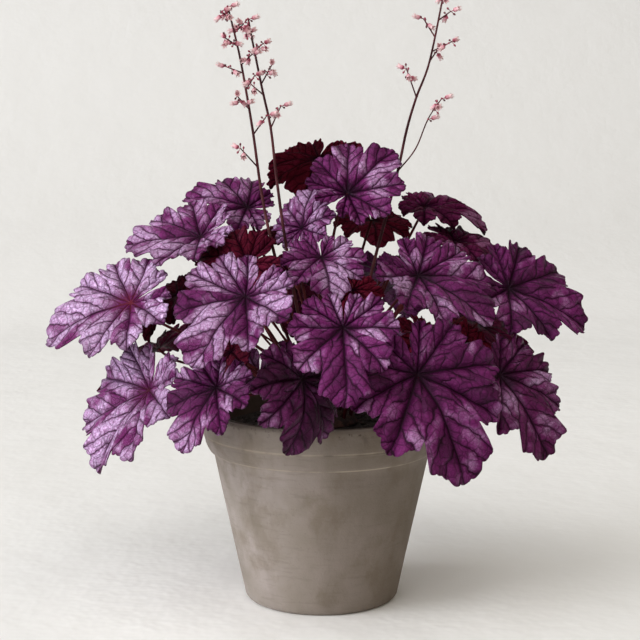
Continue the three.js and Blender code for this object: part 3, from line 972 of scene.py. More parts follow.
@dataclass
class Studio:
    """Camera, sweep and lights."""

    eye: Point = (-0.0012, -1.300, 0.412)
    pitch: float = -7.66  # degrees above the horizon
    focal_share: float = 1558 / 640  # focal length as a share of the picture's width
    sensor: float = 36.0
    sight: float = 20.0
    sweep_width: float = 6.0
    floor_front: float = -2.2
    floor_back: float = 1.5
    sweep_radius: float = 0.8
    sweep_steps: int = 24
    wall_height: float = 3.0
    bright_side: float = 0.70
    dark_side: float = 0.275
    bright_tint: Colour = (0.98, 0.99, 1.0, 1)
    dark_tint: Colour = (1.0, 0.84, 0.55, 1)
    bright_end: float = -0.8  # how far to the left the surround is at its brightest
    lamps: tuple[Lamp, ...] = (
        Lamp("window", (-7.5, -2.8, 2.2), (0, 0, 0.2), 5.1, 552, (0.985, 0.99, 1.0)),
        Lamp("ceiling", (-0.2, -1.9, 3.0), (0, 0, 0), 3.4, 72, (1.0, 0.98, 0.94)),
    )

    def set_camera(self) -> None:
        """Adds the camera and makes it the scene's."""
        angle = (math.radians(90 + self.pitch), 0, 0)
        bpy.ops.object.camera_add(location=self.eye, rotation=angle)
        camera = bpy.context.object
        camera.data.sensor_width = self.sensor
        camera.data.lens = self.sensor * self.focal_share
        camera.data.clip_end = self.sight
        bpy.context.scene.camera = camera

    def lay_sweep(self) -> None:
        """Models the floor that curves up into the wall behind."""
        bpy.ops.mesh.primitive_plane_add(size=1)
        sweep = bpy.context.object
        sweep.name = "studio_sweep"
        half = self.sweep_width / 2
        move_points(sweep, np.array([(x, y, 0) for y in (self.floor_front, self.floor_back) for x in (-half, half)]))
        sweep.data.polygons[0].select = False
        for vertex in sweep.data.vertices:
            vertex.select = vertex.co.y > self.floor_back - MM
        for edge in sweep.data.edges:
            edge.select = all(sweep.data.vertices[k].select for k in edge.vertices)
        with editing(whole=False):
            was = Vector((0, 0, 0))
            for k in range(1, self.sweep_steps + 1):
                turn = math.pi / 2 * k / self.sweep_steps
                now = Vector((0, math.sin(turn), 1 - math.cos(turn))) * self.sweep_radius
                bpy.ops.mesh.extrude_region_move(TRANSFORM_OT_translate={"value": now - was})
                was = now
            bpy.ops.mesh.extrude_region_move(TRANSFORM_OT_translate={"value": (0, 0, self.wall_height)})
            face_outwards()
        bpy.ops.object.shade_smooth()
        dressed([sweep], BackdropFinish().make())

    def surround(self) -> None:
        """Fills the room with an even light that falls off towards its dark side, on the right."""
        graph = Graph(bpy.data.worlds.new("studio"))
        right = graph.split(graph.add("TexCoord", {}, "Generated"))[0]
        strength = graph.smooth(right, self.bright_end, 1.0, self.bright_side, self.dark_side)
        warmth = graph.add("MapRange", {"Value": right, "From Min": self.bright_end})
        colour = graph.mix(warmth, self.bright_tint, self.dark_tint)
        bpy.context.scene.world = graph.close(graph.add("Background", {"Color": colour, "Strength": strength}))

    def build(self) -> None:
        """Sets up the whole studio."""
        self.set_camera()
        self.lay_sweep()
        for lamp in self.lamps:
            lamp.hang()
        self.surround()
        bpy.context.scene.view_settings.view_transform = "Standard"


# ---- pot, soil and crown ------------------------------------------------------------------------------------


def offsets(radius: float, height: float, steps: Sequence[Pair]) -> list[Pair]:
    """Returns points of a section that are given in millimetres from a radius and a height."""
    return [(radius + across * MM, height + up * MM) for across, up in steps]


@dataclass
class ClayPot:
    """Thrown clay pot: a tapered body under a tall collar.

    flare, groove and lip are points of its section in millimetres: flare from the axis and the collar's bottom,
    groove from the rim's outer edge and groove_height, and lip from the rim's outer edge and its top.
    """

    segments: int = 144
    foot_radius: float = 64.6 * MM
    foot_edge: float = 3.5 * MM
    foot_flare: float = 0.6 * MM
    body_top: float = 91.4 * MM
    body_rings: int = 22
    collar_bottom: float = 127.6 * MM
    flare: tuple[Pair, ...] = ((94.0, 0.4), (95.2, 1.6), (96.6, 4), (98.2, 8))
    groove_height: float = 142.6 * MM
    groove: tuple[Pair, ...] = ((-0.7, -2.4), (-0.1, -1.0), (-0.5, -0.2), (-0.5, 0.5), (0, 1.2), (0, 6))
    lip: tuple[Pair, ...] = ((0, -6), (-0.2, -2.6), (-1, -0.9), (-2.6, 0), (-7, 0))
    mouth_radius: float = 86.8 * MM
    mouth_taper: float = 3.5 * MM
    floor: float = 10 * MM
    inner_foot: float = 55 * MM
    drain: float = 11 * MM
    chips: tuple[Point, ...] = ((-0.056, -0.082, 0.1535), (0.0335, -0.093, 0.1535), (-0.030, 0.094, 0.156))
    chip_size: float = 3.4 * MM
    chip_depth: float = 1.2 * MM
    chip_zone: float = 5 * MM  # how far in from the rim a chip reaches
    worn_width: float = 1.3 * MM
    unevenness: Pair = (0.35 * MM, 0.12 * MM)  # of slow dents and of the rings of the throwing
    crease: float = math.radians(50)

    def profile(self) -> list[Pair]:
        """Returns the section as radius and height, from the drain hole round the outside and back inside."""
        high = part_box("pot")[1]
        bottom = self.collar_bottom
        flared = self.foot_radius + self.foot_flare
        section = [(self.drain, 0), (self.foot_radius * 0.6, 0), (self.foot_radius - self.foot_edge, 0)]
        section += [(self.foot_radius - 1 * MM, 1.2 * MM), (flared, self.foot_edge)]
        for k in range(1, self.body_rings):
            t = k / self.body_rings
            radius = flared + t * (self.body_top - self.foot_radius - self.foot_flare)
            section.append((radius, self.foot_edge + t * (bottom - 2 * MM - self.foot_edge)))
        section += offsets(self.body_top, bottom, ((0, -0.8), (0.9, -0.2)))
        section += offsets(0, bottom, self.flare)
        section += offsets(high.x, self.groove_height, self.groove)
        section += offsets(high.x, high.z, self.lip)
        section += offsets(self.mouth_radius, high.z, ((1.6, -0.2), (0, -2)))
        section += [(self.mouth_radius - self.mouth_taper, bottom), (self.inner_foot, self.floor)]
        return [*section, (self.inner_foot * 0.5, self.floor), (self.drain, self.floor)]

    def turn(self) -> Object:
        """Turns the section into a closed wall, ring by ring, and returns the bare pot."""
        section = self.profile()
        radius, height = section[0]
        bpy.ops.mesh.primitive_circle_add(vertices=self.segments, radius=radius, location=(0, 0, height))
        pot = bpy.context.object
        with editing():
            extrude_rings(section)
        bpy.ops.object.transform_apply(location=True, rotation=True, scale=True)
        for vertex in pot.data.vertices:
            vertex.select = math.hypot(vertex.co.x, vertex.co.y) < self.drain + MM
        for edge in pot.data.edges:
            low, high = (pot.data.vertices[k] for k in edge.vertices)
            edge.select = abs(low.co.z - high.co.z) < 0.1 * MM and low.select and high.select
        with editing(whole=False):
            bpy.ops.mesh.select_mode(type="EDGE")
            bpy.ops.mesh.bridge_edge_loops()
            bpy.ops.mesh.select_mode(type="VERT")
            face_outwards()
        return pot

    def weather(self, pot: Object) -> None:
        """Makes the turned wall slightly uneven, dents the chips and marks the worn edges.

        Args:
            pot: The bare pot.
        """
        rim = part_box("pot")[1].x
        worn, chipped = np.zeros((2, len(pot.data.vertices)))
        edges = (self.collar_bottom + 0.4 * MM, self.groove_height)
        for k, vertex in enumerate(pot.data.vertices):
            co = vertex.co
            out = Vector((co.x, co.y, 0))
            if out.length < self.foot_radius - 6 * MM:
                continue
            near = min(abs(co.z - edge) for edge in edges)
            worn[k] = max(0.0, 1 - near / self.worn_width)
            waves = (noise.noise(co * 14), noise.noise(Vector((0, 0, co.z * 90))))
            wave = waves[0] * self.unevenness[0] + waves[1] * self.unevenness[1]
            co += out.normalized() * min(wave, 0)
            for chip in self.chips:
                gap = (co - Vector(chip)).length / self.chip_size
                if gap < 1 and out.length > rim - self.chip_zone:
                    chipped[k] = 1 - gap
                    co -= out.normalized() * (1 - gap) * self.chip_depth
        mark(pot, "worn", worn)
        mark(pot, "chipped", chipped)
        pot.data.update()

    def build(self) -> Object:
        """Returns the finished pot."""
        pot = self.turn()
        self.weather(pot)
        activate(pot)
        bpy.ops.object.shade_smooth_by_angle(angle=self.crease)
        return finished(joined(dressed([pot], ClayFinish().make()), "clay_pot"), Slot.POT, "pot")


@dataclass
class PottingSoil:
    """Soil that fills the pot, with crumbs and bits of bark on top."""

    rings: int = 34
    segments: int = 96
    play: float = 0.6 * MM  # room that the lumpy soil leaves at the pot's wall
    sag: float = 3.0 * MM
    sag_radius: float = 0.0845
    foot_share: float = 0.64  # radius at the pot's floor, as a share of that on top
    lumps: float = 1.6 * MM
    crease: float = math.radians(60)
    crumbs: int = 420
    crumb_sizes: Pair = (1.0 * MM, 3.2 * MM)
    crumb_reach: float = 0.081
    bark_share: float = 0.12
    bark_size: float = 1.5

    def surface_height(self, radius: float) -> float:
        """Returns the height of the soil at a distance from the axis."""
        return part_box("soil")[1].z - self.sag * (radius / self.sag_radius) ** 2

    def body(self) -> Object:
        """Returns the body of soil, lumpy on top."""
        low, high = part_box("soil")
        bpy.ops.mesh.primitive_grid_add(x_subdivisions=self.segments, y_subdivisions=self.rings, size=1)
        soil = bpy.context.object
        places = []
        for vertex in soil.data.vertices:
            across, along = vertex.co.x + 0.5, vertex.co.y + 0.5
            radius = (high.x - self.play) * along
            spot = polar(radius, -2 * math.pi * across)
            lump = (noise.noise(spot * 60) + 0.6 * noise.noise(spot * 190)) * self.lumps
            places.append((spot.x, spot.y, self.surface_height(radius) + lump * (1 - along**6) - 0.4 * MM))
        move_points(soil, np.array(places))
        with editing():
            bpy.ops.mesh.remove_doubles(threshold=0.05 * MM)
            bpy.ops.mesh.select_all(action="DESELECT")
            bpy.ops.mesh.select_non_manifold()
            bpy.ops.mesh.extrude_region_move(TRANSFORM_OT_translate={"value": (0, 0, 0)})
        self.close_below(soil, low.z)
        return soil

    def close_below(self, soil: Object, floor: float) -> None:
        """Draws the soil's edge down to the pot's floor and closes it.

        Args:
            soil: The top surface, with its doubled rim selected.
            floor: The height of the pot's floor.
        """
        for vertex in soil.data.vertices:
            if vertex.select:
                vertex.co = (vertex.co.x * self.foot_share, vertex.co.y * self.foot_share, floor)
        with editing(whole=False):
            bpy.ops.mesh.edge_face_add()
            face_outwards()
        activate(soil)
        bpy.ops.object.shade_smooth_by_angle(angle=self.crease)

    def crumb(self, draw: random.Random) -> Object:
        """Models one crumb or sliver of bark, lying on the soil.

        Args:
            draw: Source of chance.

        Returns:
            The crumb.
        """
        size = draw.uniform(*self.crumb_sizes) * (self.bark_size if draw.random() < self.bark_share else 1)
        angle = draw.uniform(0, 2 * math.pi)
        radius = self.crumb_reach * math.sqrt(draw.uniform(0.16, 1))
        place = polar(radius, angle, self.surface_height(radius))
        bpy.ops.mesh.primitive_ico_sphere_add(subdivisions=1, radius=size)
        bit = bpy.context.object
        shape = Vector((draw.uniform(0.7, 1.7), draw.uniform(0.6, 1.1), draw.uniform(0.35, 0.8)))
        spin = Matrix.Rotation(draw.uniform(0, 6.3), 4, "Z") @ Matrix.Rotation(draw.uniform(-0.5, 0.5), 4, "X")
        bit.data.transform(Matrix.Translation(place) @ spin @ Matrix.Diagonal((*shape, 1)))
        return bit

    def build(self) -> Object:
        """Returns the finished soil."""
        draw = random.Random(SEED)
        parts = [self.body(), *(self.crumb(draw) for _ in range(self.crumbs))]
        return finished(joined(dressed(parts, EarthFinish().make()), "potting_soil"), Slot.SOIL, "soil")


@dataclass
class Crown:
    """Short woody crown that the petioles rise from, with the stubs of old leaf bases."""

    skirt: float = 3 * MM  # how far out of the crown's side its dome would come down to the foot
    lumps: float = 2.2 * MM
    lump_limit: float = 0.1
    socket_depth: float = 7 * MM
    socket_collar: float = 1 * MM
    stubs: int = 26
    stub_spread: float = 26 * MM
    stub_depth: float = 2 * MM
    stub_radius: float = 2.2 * MM
    stub_length: float = 9 * MM

    def top(self, radius: float) -> float:
        """Returns the height of the crown's dome at a distance from the axis."""
        low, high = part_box("crown")
        reach = high.x + self.skirt
        return low.z + (high.z - low.z) * math.sqrt(max(0.0, 1 - (radius / reach) ** 2))

    def socket(self, foot: Pair) -> tuple[Vector, Vector]:
        """Returns the bottom and the mouth of a stalk's socket."""
        mouth = self.top(math.hypot(*foot)) + self.socket_collar
        return Vector((*foot, mouth - self.socket_depth)), Vector((*foot, mouth))

    def dome(self) -> Object:
        """Returns the lumpy body of the crown."""
        low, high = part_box("crown")
        bpy.ops.mesh.primitive_uv_sphere_add(segments=48, ring_count=24, radius=1)
        dome = bpy.context.object
        shape = Matrix.Diagonal((high.x, high.x, high.z - low.z, 1))
        dome.data.transform(Matrix.Translation((0, 0, low.z)) @ shape)
        with editing():
            bpy.ops.mesh.bisect(plane_co=(0, 0, low.z), plane_no=(0, 0, 1), clear_inner=True, use_fill=True)
        for vertex in dome.data.vertices:
            if vertex.co.z > low.z + MM:
                lump = noise.noise(vertex.co * 160) + 0.5 * noise.noise(vertex.co * 420)
                vertex.co += vertex.normal * min(lump, self.lump_limit) * self.lumps
        activate(dome)
        bpy.ops.object.shade_smooth()
        return dome

    def stub(self, k: int, draw: random.Random) -> Object:
        """Models one stub of an old leaf base.

        Args:
            k: Its number.
            draw: Source of chance.

        Returns:
            The stub.
        """
        angle = k * NEXT_TURN
        radius = self.stub_spread * math.sqrt((k + 0.5) / self.stubs)
        foot = polar(radius, angle, self.top(radius) - self.stub_depth)
        lean = polar(1, angle, draw.uniform(0.9, 2.0)).normalized()
        reach = self.stub_length * draw.uniform(0.5, 1)
        thick = self.stub_radius * draw.uniform(0.7, 1.1)
        line = [foot, foot + lean * reach * 0.5, foot + lean * reach]
        return rod("stub", line, [thick * 1.2, thick, thick * 0.55])

    def build(self) -> Object:
        """Returns the finished crown."""
        draw = random.Random(SEED + 1)
        bark = EarthFinish("crown_bark", (0.020, 0.008, 0.007, 1), (0.110, 0.045, 0.032, 1)).make()
        parts = [self.dome(), *(self.stub(k, draw) for k in range(self.stubs))]
        return finished(joined(dressed(parts, bark), "woody_crown"), Slot.CROWN, "crown")


# ---- leaves -------------------------------------------------------------------------------------------------


@dataclass
class Fuzz:
    """Fine pale hairs that stand out from a stalk."""

    spacing: float = 0.9 * MM
    length: float = 1.3 * MM
    width: float = 0.07 * MM
    lean: float = 0.35
    lengths: Pair = (0.6, 1.1)

    def model(self) -> Object:
        """Returns one hair, standing on the origin."""
        bpy.ops.mesh.primitive_cone_add(vertices=3, radius1=self.width, radius2=0, depth=self.length)
        hair = bpy.context.object
        hair.data.transform(Matrix.Translation((0, 0, self.length * 0.45)))
        return hair

    def grow(self, line: list[Vector], radius: float, down: Material, seed: int) -> list[Object]:
        """Sets hairs along a stalk.

        Args:
            line: The stalk's line.
            radius: How far from the line the hairs root.
            down: The hairs' material.
            seed: Source of chance.

        Returns:
            The hairs.
        """
        draw = random.Random(seed)
        model = dressed([self.model()], down)[0]
        hairs = []
        for low, high in zip(line, line[1:]):
            along = (high - low).normalized()
            square = along.orthogonal().normalized()
            for _ in range(max(1, round((high - low).length / self.spacing))):
                out = Quaternion(along, draw.uniform(0, 2 * math.pi)) @ square
                root = low.lerp(high, draw.random()) + out * radius
                stand = pointed((0, 0, 1), (out + along * draw.uniform(-self.lean, self.lean)).normalized())
                size = Matrix.Scale(draw.uniform(*self.lengths), 4)
                hairs.append(copied(model, Matrix.Translation(root) @ stand @ size))
        bpy.data.objects.remove(model)
        return hairs


@dataclass(frozen=True)
class Lobe:
    """One lobe of a blade: bearing from the midrib and half-width in degrees, length as a share."""

    bearing: float
    length: float
    half: float


@dataclass(frozen=True)
class Tone:
    """Colouring of one leaf, partly its own and partly painted light: its silvery bloom, how light its flesh is and
    how red it is.
    """

    silver: float
    light: float
    red: float = 0.0


@dataclass(frozen=True)
class LeafPose:
    """Place and bearing of one leaf.

    at is the petiole's junction. turn is the yaw of the midrib from +X, its pitch and the roll about it, in
    degrees. size is the middle lobe's length. curl bends the blade, nod adds to that towards the tip, and width
    and fan scale the side lobes' length and bearing. ring is the crown's ring that the petiole grows from.
    """

    at: Point
    turn: Trio
    size: float
    curl: float
    nod: float = 0.25
    width: float = 0.95
    fan: float = 0.98
    ring: int = 0
    tone: Tone = Tone(0.3, 0.3)


@dataclass(frozen=True)
class BladeForm:
    """Shape that all blades share: bearings in degrees, lengths as shares of the leaf's size, thickness in metres."""

    lobes: tuple[Lobe, ...] = (
        Lobe(0, 1.0, 25), Lobe(44, 0.92, 19), Lobe(83, 0.82, 20), Lobe(121, 0.69, 18), Lobe(154, 0.56, 15)
    )
    lobe_play: Pair = (0.96, 1.03)  # chance share of a side lobe's length
    lean_play: float = 0.05
    middle: Trio = (0.89, 0.105, 0.50)  # a lobe's tip: its radius, its bulge and the bulge's half-width
    side: Trio = (0.855, 0.055, 0.30)  # and the same of its two shoulders
    shoulder: float = 0.71  # place of the shoulders, as a share of the lobe's half-width
    notch_start: float = 0.84
    notch_steepness: float = 1.4
    notch_depth: float = 0.81
    basal_depth: float = 0.72
    slit_bearing: float = 175.5
    slit_radius: float = 0.26
    slit_bulge: float = 0.035
    slit_steps: int = 4
    scallop: float = 0.026
    scallops: int = 7  # on each lobe
    scallop_play: Pair = (0.7, 1.3)
    scallop_fade: float = 0.75  # how much smaller the scallops get towards the notches
    funnel_slope: float = 0.3
    pleat: float = 0.042
    ruffle: float = 0.03
    ruffle_waves: int = 5
    swing: float = 0.045
    sway: float = 0.035
    puff: float = 0.017
    gutter: float = 0.014
    gutter_width: float = 0.040
    flutter: float = 0.014
    swell: float = 0.009
    crowding: float = 0.85  # below 1, the rings lie closer together towards the margin
    thickness: float = 0.9 * MM
    crease: float = math.radians(70)
    veins: VeinPattern = field(default_factory=VeinPattern)

    def both_sides(self) -> list[Lobe]:
        """Returns the lobes from one side of the cleft round to the other."""
        mirrored = [Lobe(-lobe.bearing, lobe.length, lobe.half) for lobe in self.lobes[1:]]
        return [*reversed(mirrored), *self.lobes]

    def outline(self, offset: float) -> float:
        """Shapes a lobe, before the notches are cut.

        Args:
            offset: Place across the lobe, as a share of its half-width.

        Returns:
            The radius there.
        """
        radii = []
        for (radius, bulge, half), place in ((self.middle, abs(offset)), (self.side, abs(offset) - self.shoulder)):
            radii.append(radius + bulge * math.sqrt(max(0.0, 1 - (place / half) ** 2)))
        return max(radii)


@dataclass
class BladeGrid:
    """Columns of a blade's mesh: bearing, radii of margin and tooth, the lobe and the place across it."""

    bearing: np.ndarray
    margin: np.ndarray
    tooth: np.ndarray
    lobe: np.ndarray
    offset: np.ndarray


@dataclass
class Leaf:
    """One leaf: a quilted lobed blade on its petiole."""

    number: int
    pose: LeafPose
    foot: Pair
    form: BladeForm
    lobe_steps: int
    rings: int
    petiole_radius: float = 1.2 * MM
    petiole_steps: int = 22

    @property
    def phase(self) -> float:
        """Phase of the margin's ruffle."""
        return (self.number - 1) * NEXT_TURN

    def axes(self) -> tuple[Vector, Vector, Vector]:
        """Returns the midrib's heading, the blade's direction across it and its upward normal."""
        yaw, pitch, roll = (math.radians(a) for a in self.pose.turn)
        flat = math.cos(pitch)
        midrib = Vector((flat * math.cos(yaw), flat * math.sin(yaw), math.sin(pitch)))
        up = (Vector((0, 0, 1)) - midrib * midrib.z).normalized()
        across = up.cross(midrib)
        rolled = across * math.cos(roll) + up * math.sin(roll)
        return midrib, rolled, up * math.cos(roll) - across * math.sin(roll)

    def notches(self, lengths: list[float], i: int) -> Pair:
        """Sets the notches on both sides of a lobe.

        Args:
            lengths: The lobes' lengths.
            i: The lobe's place among them.

        Returns:
            The radii of the notch before it and of the one after it.
        """
        form, last = self.form, len(lengths) - 1
        before = form.notch_depth * min(lengths[i], lengths[i - 1]) if i else form.basal_depth * lengths[i]
        after = form.notch_depth * min(lengths[i], lengths[i + 1]) if i < last else form.basal_depth * lengths[i]
        return before, after

    def grid(self) -> BladeGrid:
        """Lays out the blade's columns from one side of the cleft to the other."""
        form, pose = self.form, self.pose
        draw = random.Random(SEED * 100 + self.number)
        lobes = form.both_sides()
        widths = (1 if lobe.bearing == 0 else pose.width * draw.uniform(*form.lobe_play) for lobe in lobes)
        lengths = [lobe.length * width for lobe, width in zip(lobes, widths)]
        last = len(lobes) - 1
        rows = []
        for i, lobe in enumerate(lobes):
            before, after = self.notches(lengths, i)
            lean = draw.uniform(-form.lean_play, form.lean_play)
            sizes = [form.scallop * lengths[i] * draw.uniform(*form.scallop_play) for _ in range(form.scallops + 1)]
            for k in range(self.lobe_steps + (i == last)):
                offset = -1 + 2 * k / self.lobe_steps
                radius = lengths[i] * form.outline(offset + lean * (1 - offset**2))
                cut = float(smoothstep(form.notch_start, 1.0, np.array(abs(offset)))) ** form.notch_steepness
                radius += cut * ((before if offset < 0 else after) - radius)
                place = k * form.scallops / self.lobe_steps
                swell = (1 - (2 * (place % 1) - 1) ** 2) ** 0.75 - 0.7
                size = sizes[int(place)] * (1 - cut) * (1 - form.scallop_fade * abs(offset) ** 3) * swell
                rows.append(((lobe.bearing + offset * lobe.half) * pose.fan, radius, size, i, offset))
        basal = self.basal_columns(rows[-1][0], rows[-1][1])
        mirrored = [(-bearing, radius, 0.0, 0, -1.0) for bearing, radius in reversed(basal)]
        table = np.array([*mirrored, *rows, *((bearing, radius, 0.0, last, 1.0) for bearing, radius in basal)])
        return BladeGrid(np.radians(table[:, 0]), table[:, 1], table[:, 2], table[:, 3].astype(int), table[:, 4])

    def basal_columns(self, bearing: float, radius: float) -> list[Pair]:
        """Returns bearings and radii of the margin from the last lobe's end to the cleft.

        Args:
            bearing: The last lobe's end, in degrees.
            radius: Its radius there.

        Returns:
            The columns' bearings and radii.
        """
        form = self.form
        columns = []
        for k in range(1, form.slit_steps + 1):
            share = k / form.slit_steps
            bulge = form.slit_bulge * math.sin(math.pi * share)
            turned = bearing + share * (form.slit_bearing - bearing)
            columns.append((turned, radius + share * (form.slit_radius - radius) + bulge))
        return columns

    def lobe_coordinates(
        self, bearing: np.ndarray, radius: np.ndarray, lobe: np.ndarray
    ) -> tuple[np.ndarray, np.ndarray]:
        """Returns distances across and along a lobe's main vein, as shares of the lobe's length.

        Args:
            bearing: Bearings in radians.
            radius: Radii as shares of the leaf's size.
            lobe: The lobe that each point is measured in.

        Returns:
            The distances across and along.
        """
        lobes = self.form.both_sides()
        centre = np.radians(np.array([row.bearing for row in lobes])) * self.pose.fan
        length = np.array([row.length for row in lobes])
        sway = self.form.sway * np.sin(5 * radius + self.phase + lobe * 1.7) * radius
        away = bearing - centre[lobe] + sway
        return radius * np.sin(away) / length[lobe], radius * np.cos(away) / length[lobe]

    def relief(self, bearing: np.ndarray, radius: np.ndarray, share: np.ndarray, grid: BladeGrid) -> np.ndarray:
        """Forms the quilting of the blade: grooves on the veins and puffed flesh between them.

        Args:
            bearing: Bearings in radians.
            radius: Radii as shares of the leaf's size.
            share: Shares of the way from the junction to the margin.
            grid: The blade's columns.

        Returns:
            How far each point stands out, as a share of the leaf's size.
        """
        form = self.form
        across, along = self.lobe_coordinates(bearing, radius, grid.lobe[None, :])
        between = 0.5 - 0.5 * np.cos(2 * math.pi * form.veins.count(across, along))
        inside = smoothstep(0.0, 0.07, np.abs(across)) * (1 - smoothstep(0.75, 1.0, np.abs(grid.offset)))[None, :]
        puff = form.puff * between * inside * smoothstep(0.12, 0.35, along)
        gutter = -form.gutter * np.exp(-((across / form.gutter_width) ** 2)) * smoothstep(0.02, 0.2, along)
        wave = np.sin(3 * math.pi * grid.offset[None, :] + self.phase)
        flutter = form.flutter * wave * smoothstep(0.68, 1.0, share)
        x, y = radius * np.cos(bearing), radius * np.sin(bearing)
        return puff + gutter + flutter + form.swell * np.sin(13 * x + self.phase) * np.sin(15 * y + 2 * self.phase)

    def blade_places(self, grid: BladeGrid, share: np.ndarray) -> np.ndarray:
        """Places the blade's points.

        Args:
            grid: The blade's columns.
            share: For each ring, its share of the way from the junction to the margin.

        Returns:
            Places as an array of rings by columns by three.
        """
        form, pose = self.form, self.pose
        midrib, across, up = (np.array(v) for v in self.axes())
        bearing = np.broadcast_to(grid.bearing, (len(share), len(grid.bearing)))
        share = share[:, None]
        radius = share * grid.margin[None, :] + smoothstep(0.88, 1.0, share) * grid.tooth[None, :]
        curl = pose.curl + pose.nod * np.cos(bearing)
        slope = form.funnel_slope - curl * radius
        run = (math.sin(form.funnel_slope) - np.sin(slope)) / curl
        rise = (np.cos(slope) - math.cos(form.funnel_slope)) / curl
        wave = form.ruffle * radius**3 * np.sin(form.ruffle_waves * bearing + self.phase)
        fold = form.pleat * np.cos(math.pi * grid.offset)[None, :] * radius
        quilt = self.relief(bearing, radius, share, grid)
        run = run - quilt * np.sin(slope)
        rise = rise - fold + wave + quilt * np.cos(slope)
        swing = bearing + form.swing * np.sin(3 * bearing + 2 * self.phase)
        heading = np.cos(swing)[..., None] * midrib + np.sin(swing)[..., None] * across
        return np.array(pose.at) + pose.size * (run[..., None] * heading + rise[..., None] * up)

    def blade(self) -> Object:
        """Models the blade from a grid whose rows become rings round the junction."""
        grid = self.grid()
        share = np.linspace(0, 1, self.rings + 1) ** self.form.crowding
        bpy.ops.mesh.primitive_grid_add(x_subdivisions=len(grid.bearing) - 1, y_subdivisions=self.rings, size=1)
        blade = bpy.context.object
        move_points(blade, self.blade_places(grid, share)[:, ::-1].reshape(-1, 3))
        self.paint(blade, grid, share)
        with editing():
            bpy.ops.mesh.remove_doubles(threshold=0.02 * MM)
        bpy.ops.object.modifier_add(type="SOLIDIFY")
        skin = blade.modifiers[-1]
        skin.thickness = self.form.thickness
        skin.offset = 0.0
        skin.material_offset = 1
        skin.material_offset_rim = 1
        bpy.ops.object.modifier_apply(modifier=skin.name)
        bpy.ops.object.shade_smooth_by_angle(angle=self.form.crease)
        return blade

    def paint(self, blade: Object, grid: BladeGrid, share: np.ndarray) -> None:
        """Writes the vein coordinates, the margin and the leaf's tone on the mesh.

        Args:
            blade: The blade, still with its rows and columns in order.
            grid: The blade's columns.
            share: The rings' shares of the way to the margin.
        """
        mesh = blade.data
        columns = len(grid.bearing)
        corners = np.empty(len(mesh.loops), np.int32)
        mesh.loops.foreach_get("vertex_index", corners)
        ring, column = corners // columns, columns - 1 - corners % columns
        owner = column.reshape(-1, 4).min(axis=1).repeat(4)
        radius = share[ring] * grid.margin[column]
        across, along = self.lobe_coordinates(grid.bearing[column], radius, grid.lobe[owner])
        across = across + LOBE_STEP * grid.lobe[owner]
        layer = mesh.uv_layers[0]
        layer.name = "veins"
        layer.data.foreach_set("uv", np.stack([across, along], axis=1).astype(np.float32).ravel())
        tone = self.pose.tone
        mark(blade, "edge", share.repeat(columns))
        tint(blade, "tone", (tone.silver, tone.light, tone.red, 1))
        tint(blade, "print", (self.number,) * 4)

    def petiole(self, crown: Crown, stalk: Material, down: Material) -> list[Object]:
        """Models the petiole, which rises from the crown and bends over to the blade.

        Args:
            crown: The crown that it grows from.
            stalk: Material of its skin.
            down: Material of its hairs.

        Returns:
            The petiole and its hairs.
        """
        start, mouth = crown.socket(self.foot)
        end = Vector(self.pose.at)
        outward = Vector((end.x, end.y, 0)).normalized()
        heading = self.axes()[2] * 0.7 + outward * 0.5
        heading.z = 0.8
        heading.normalize()
        reach = (end - mouth).length
        rise = mouth.lerp(end, 0.25)
        rise.z = mouth.z + reach * 0.35
        line = [start, *bezier([mouth, rise, end - heading * reach * 0.28, end], self.petiole_steps)]
        petiole = rod("petiole", line, tapered(self.petiole_radius, 1.35, 0.45, line))
        hairs = Fuzz().grow(line[2:-1], self.petiole_radius, down, SEED * 10 + self.number)
        return [*dressed([petiole], stalk), *hairs]

    def build(self, crown: Crown, skins: list[Material], stalk: Material, down: Material) -> Object:
        """Returns the finished leaf.

        Args:
            crown: The crown that it grows from.
            skins: Materials of the blade's upper side and underside.
            stalk: Material of the petiole.
            down: Material of the petiole's hairs.

        Returns:
            The leaf.
        """
        blade = self.blade()
        for skin in skins:
            blade.data.materials.append(skin)
        whole = joined([blade, *self.petiole(crown, stalk, down)], f"heuchera_leaf_{self.number:02d}")
        return finished(whole, Slot.LEAF, f"leaf_{self.number:02d}")


# painted light, in part: the lighter, more silvery tones go to leaves lit from the left and the darker ones to leaves
# in shade on the right
PALE = Tone(1.32, 0.90)
FROST = Tone(1.10, 0.74)
SILVER = Tone(0.84, 0.52)
LILAC = Tone(0.80, 0.60)
MAUVE = Tone(0.56, 0.40)
VIOLET = Tone(0.42, 0.45)
PLUM = Tone(0.07, 0.25)
DUSK = Tone(0.15, 0.10, 0.5)
HAZE = Tone(0.52, 0.28, 0.1)
# painted shade: a dark tone for a leaf that lies in shade
SHADE = Tone(0.22, 0.02, 0.1)
WINE = Tone(0.12, 0.16, 0.72)
MAROON = Tone(0.05, 0.42, 0.9)
UMBER = Tone(0.05, 0.12, 0.9)

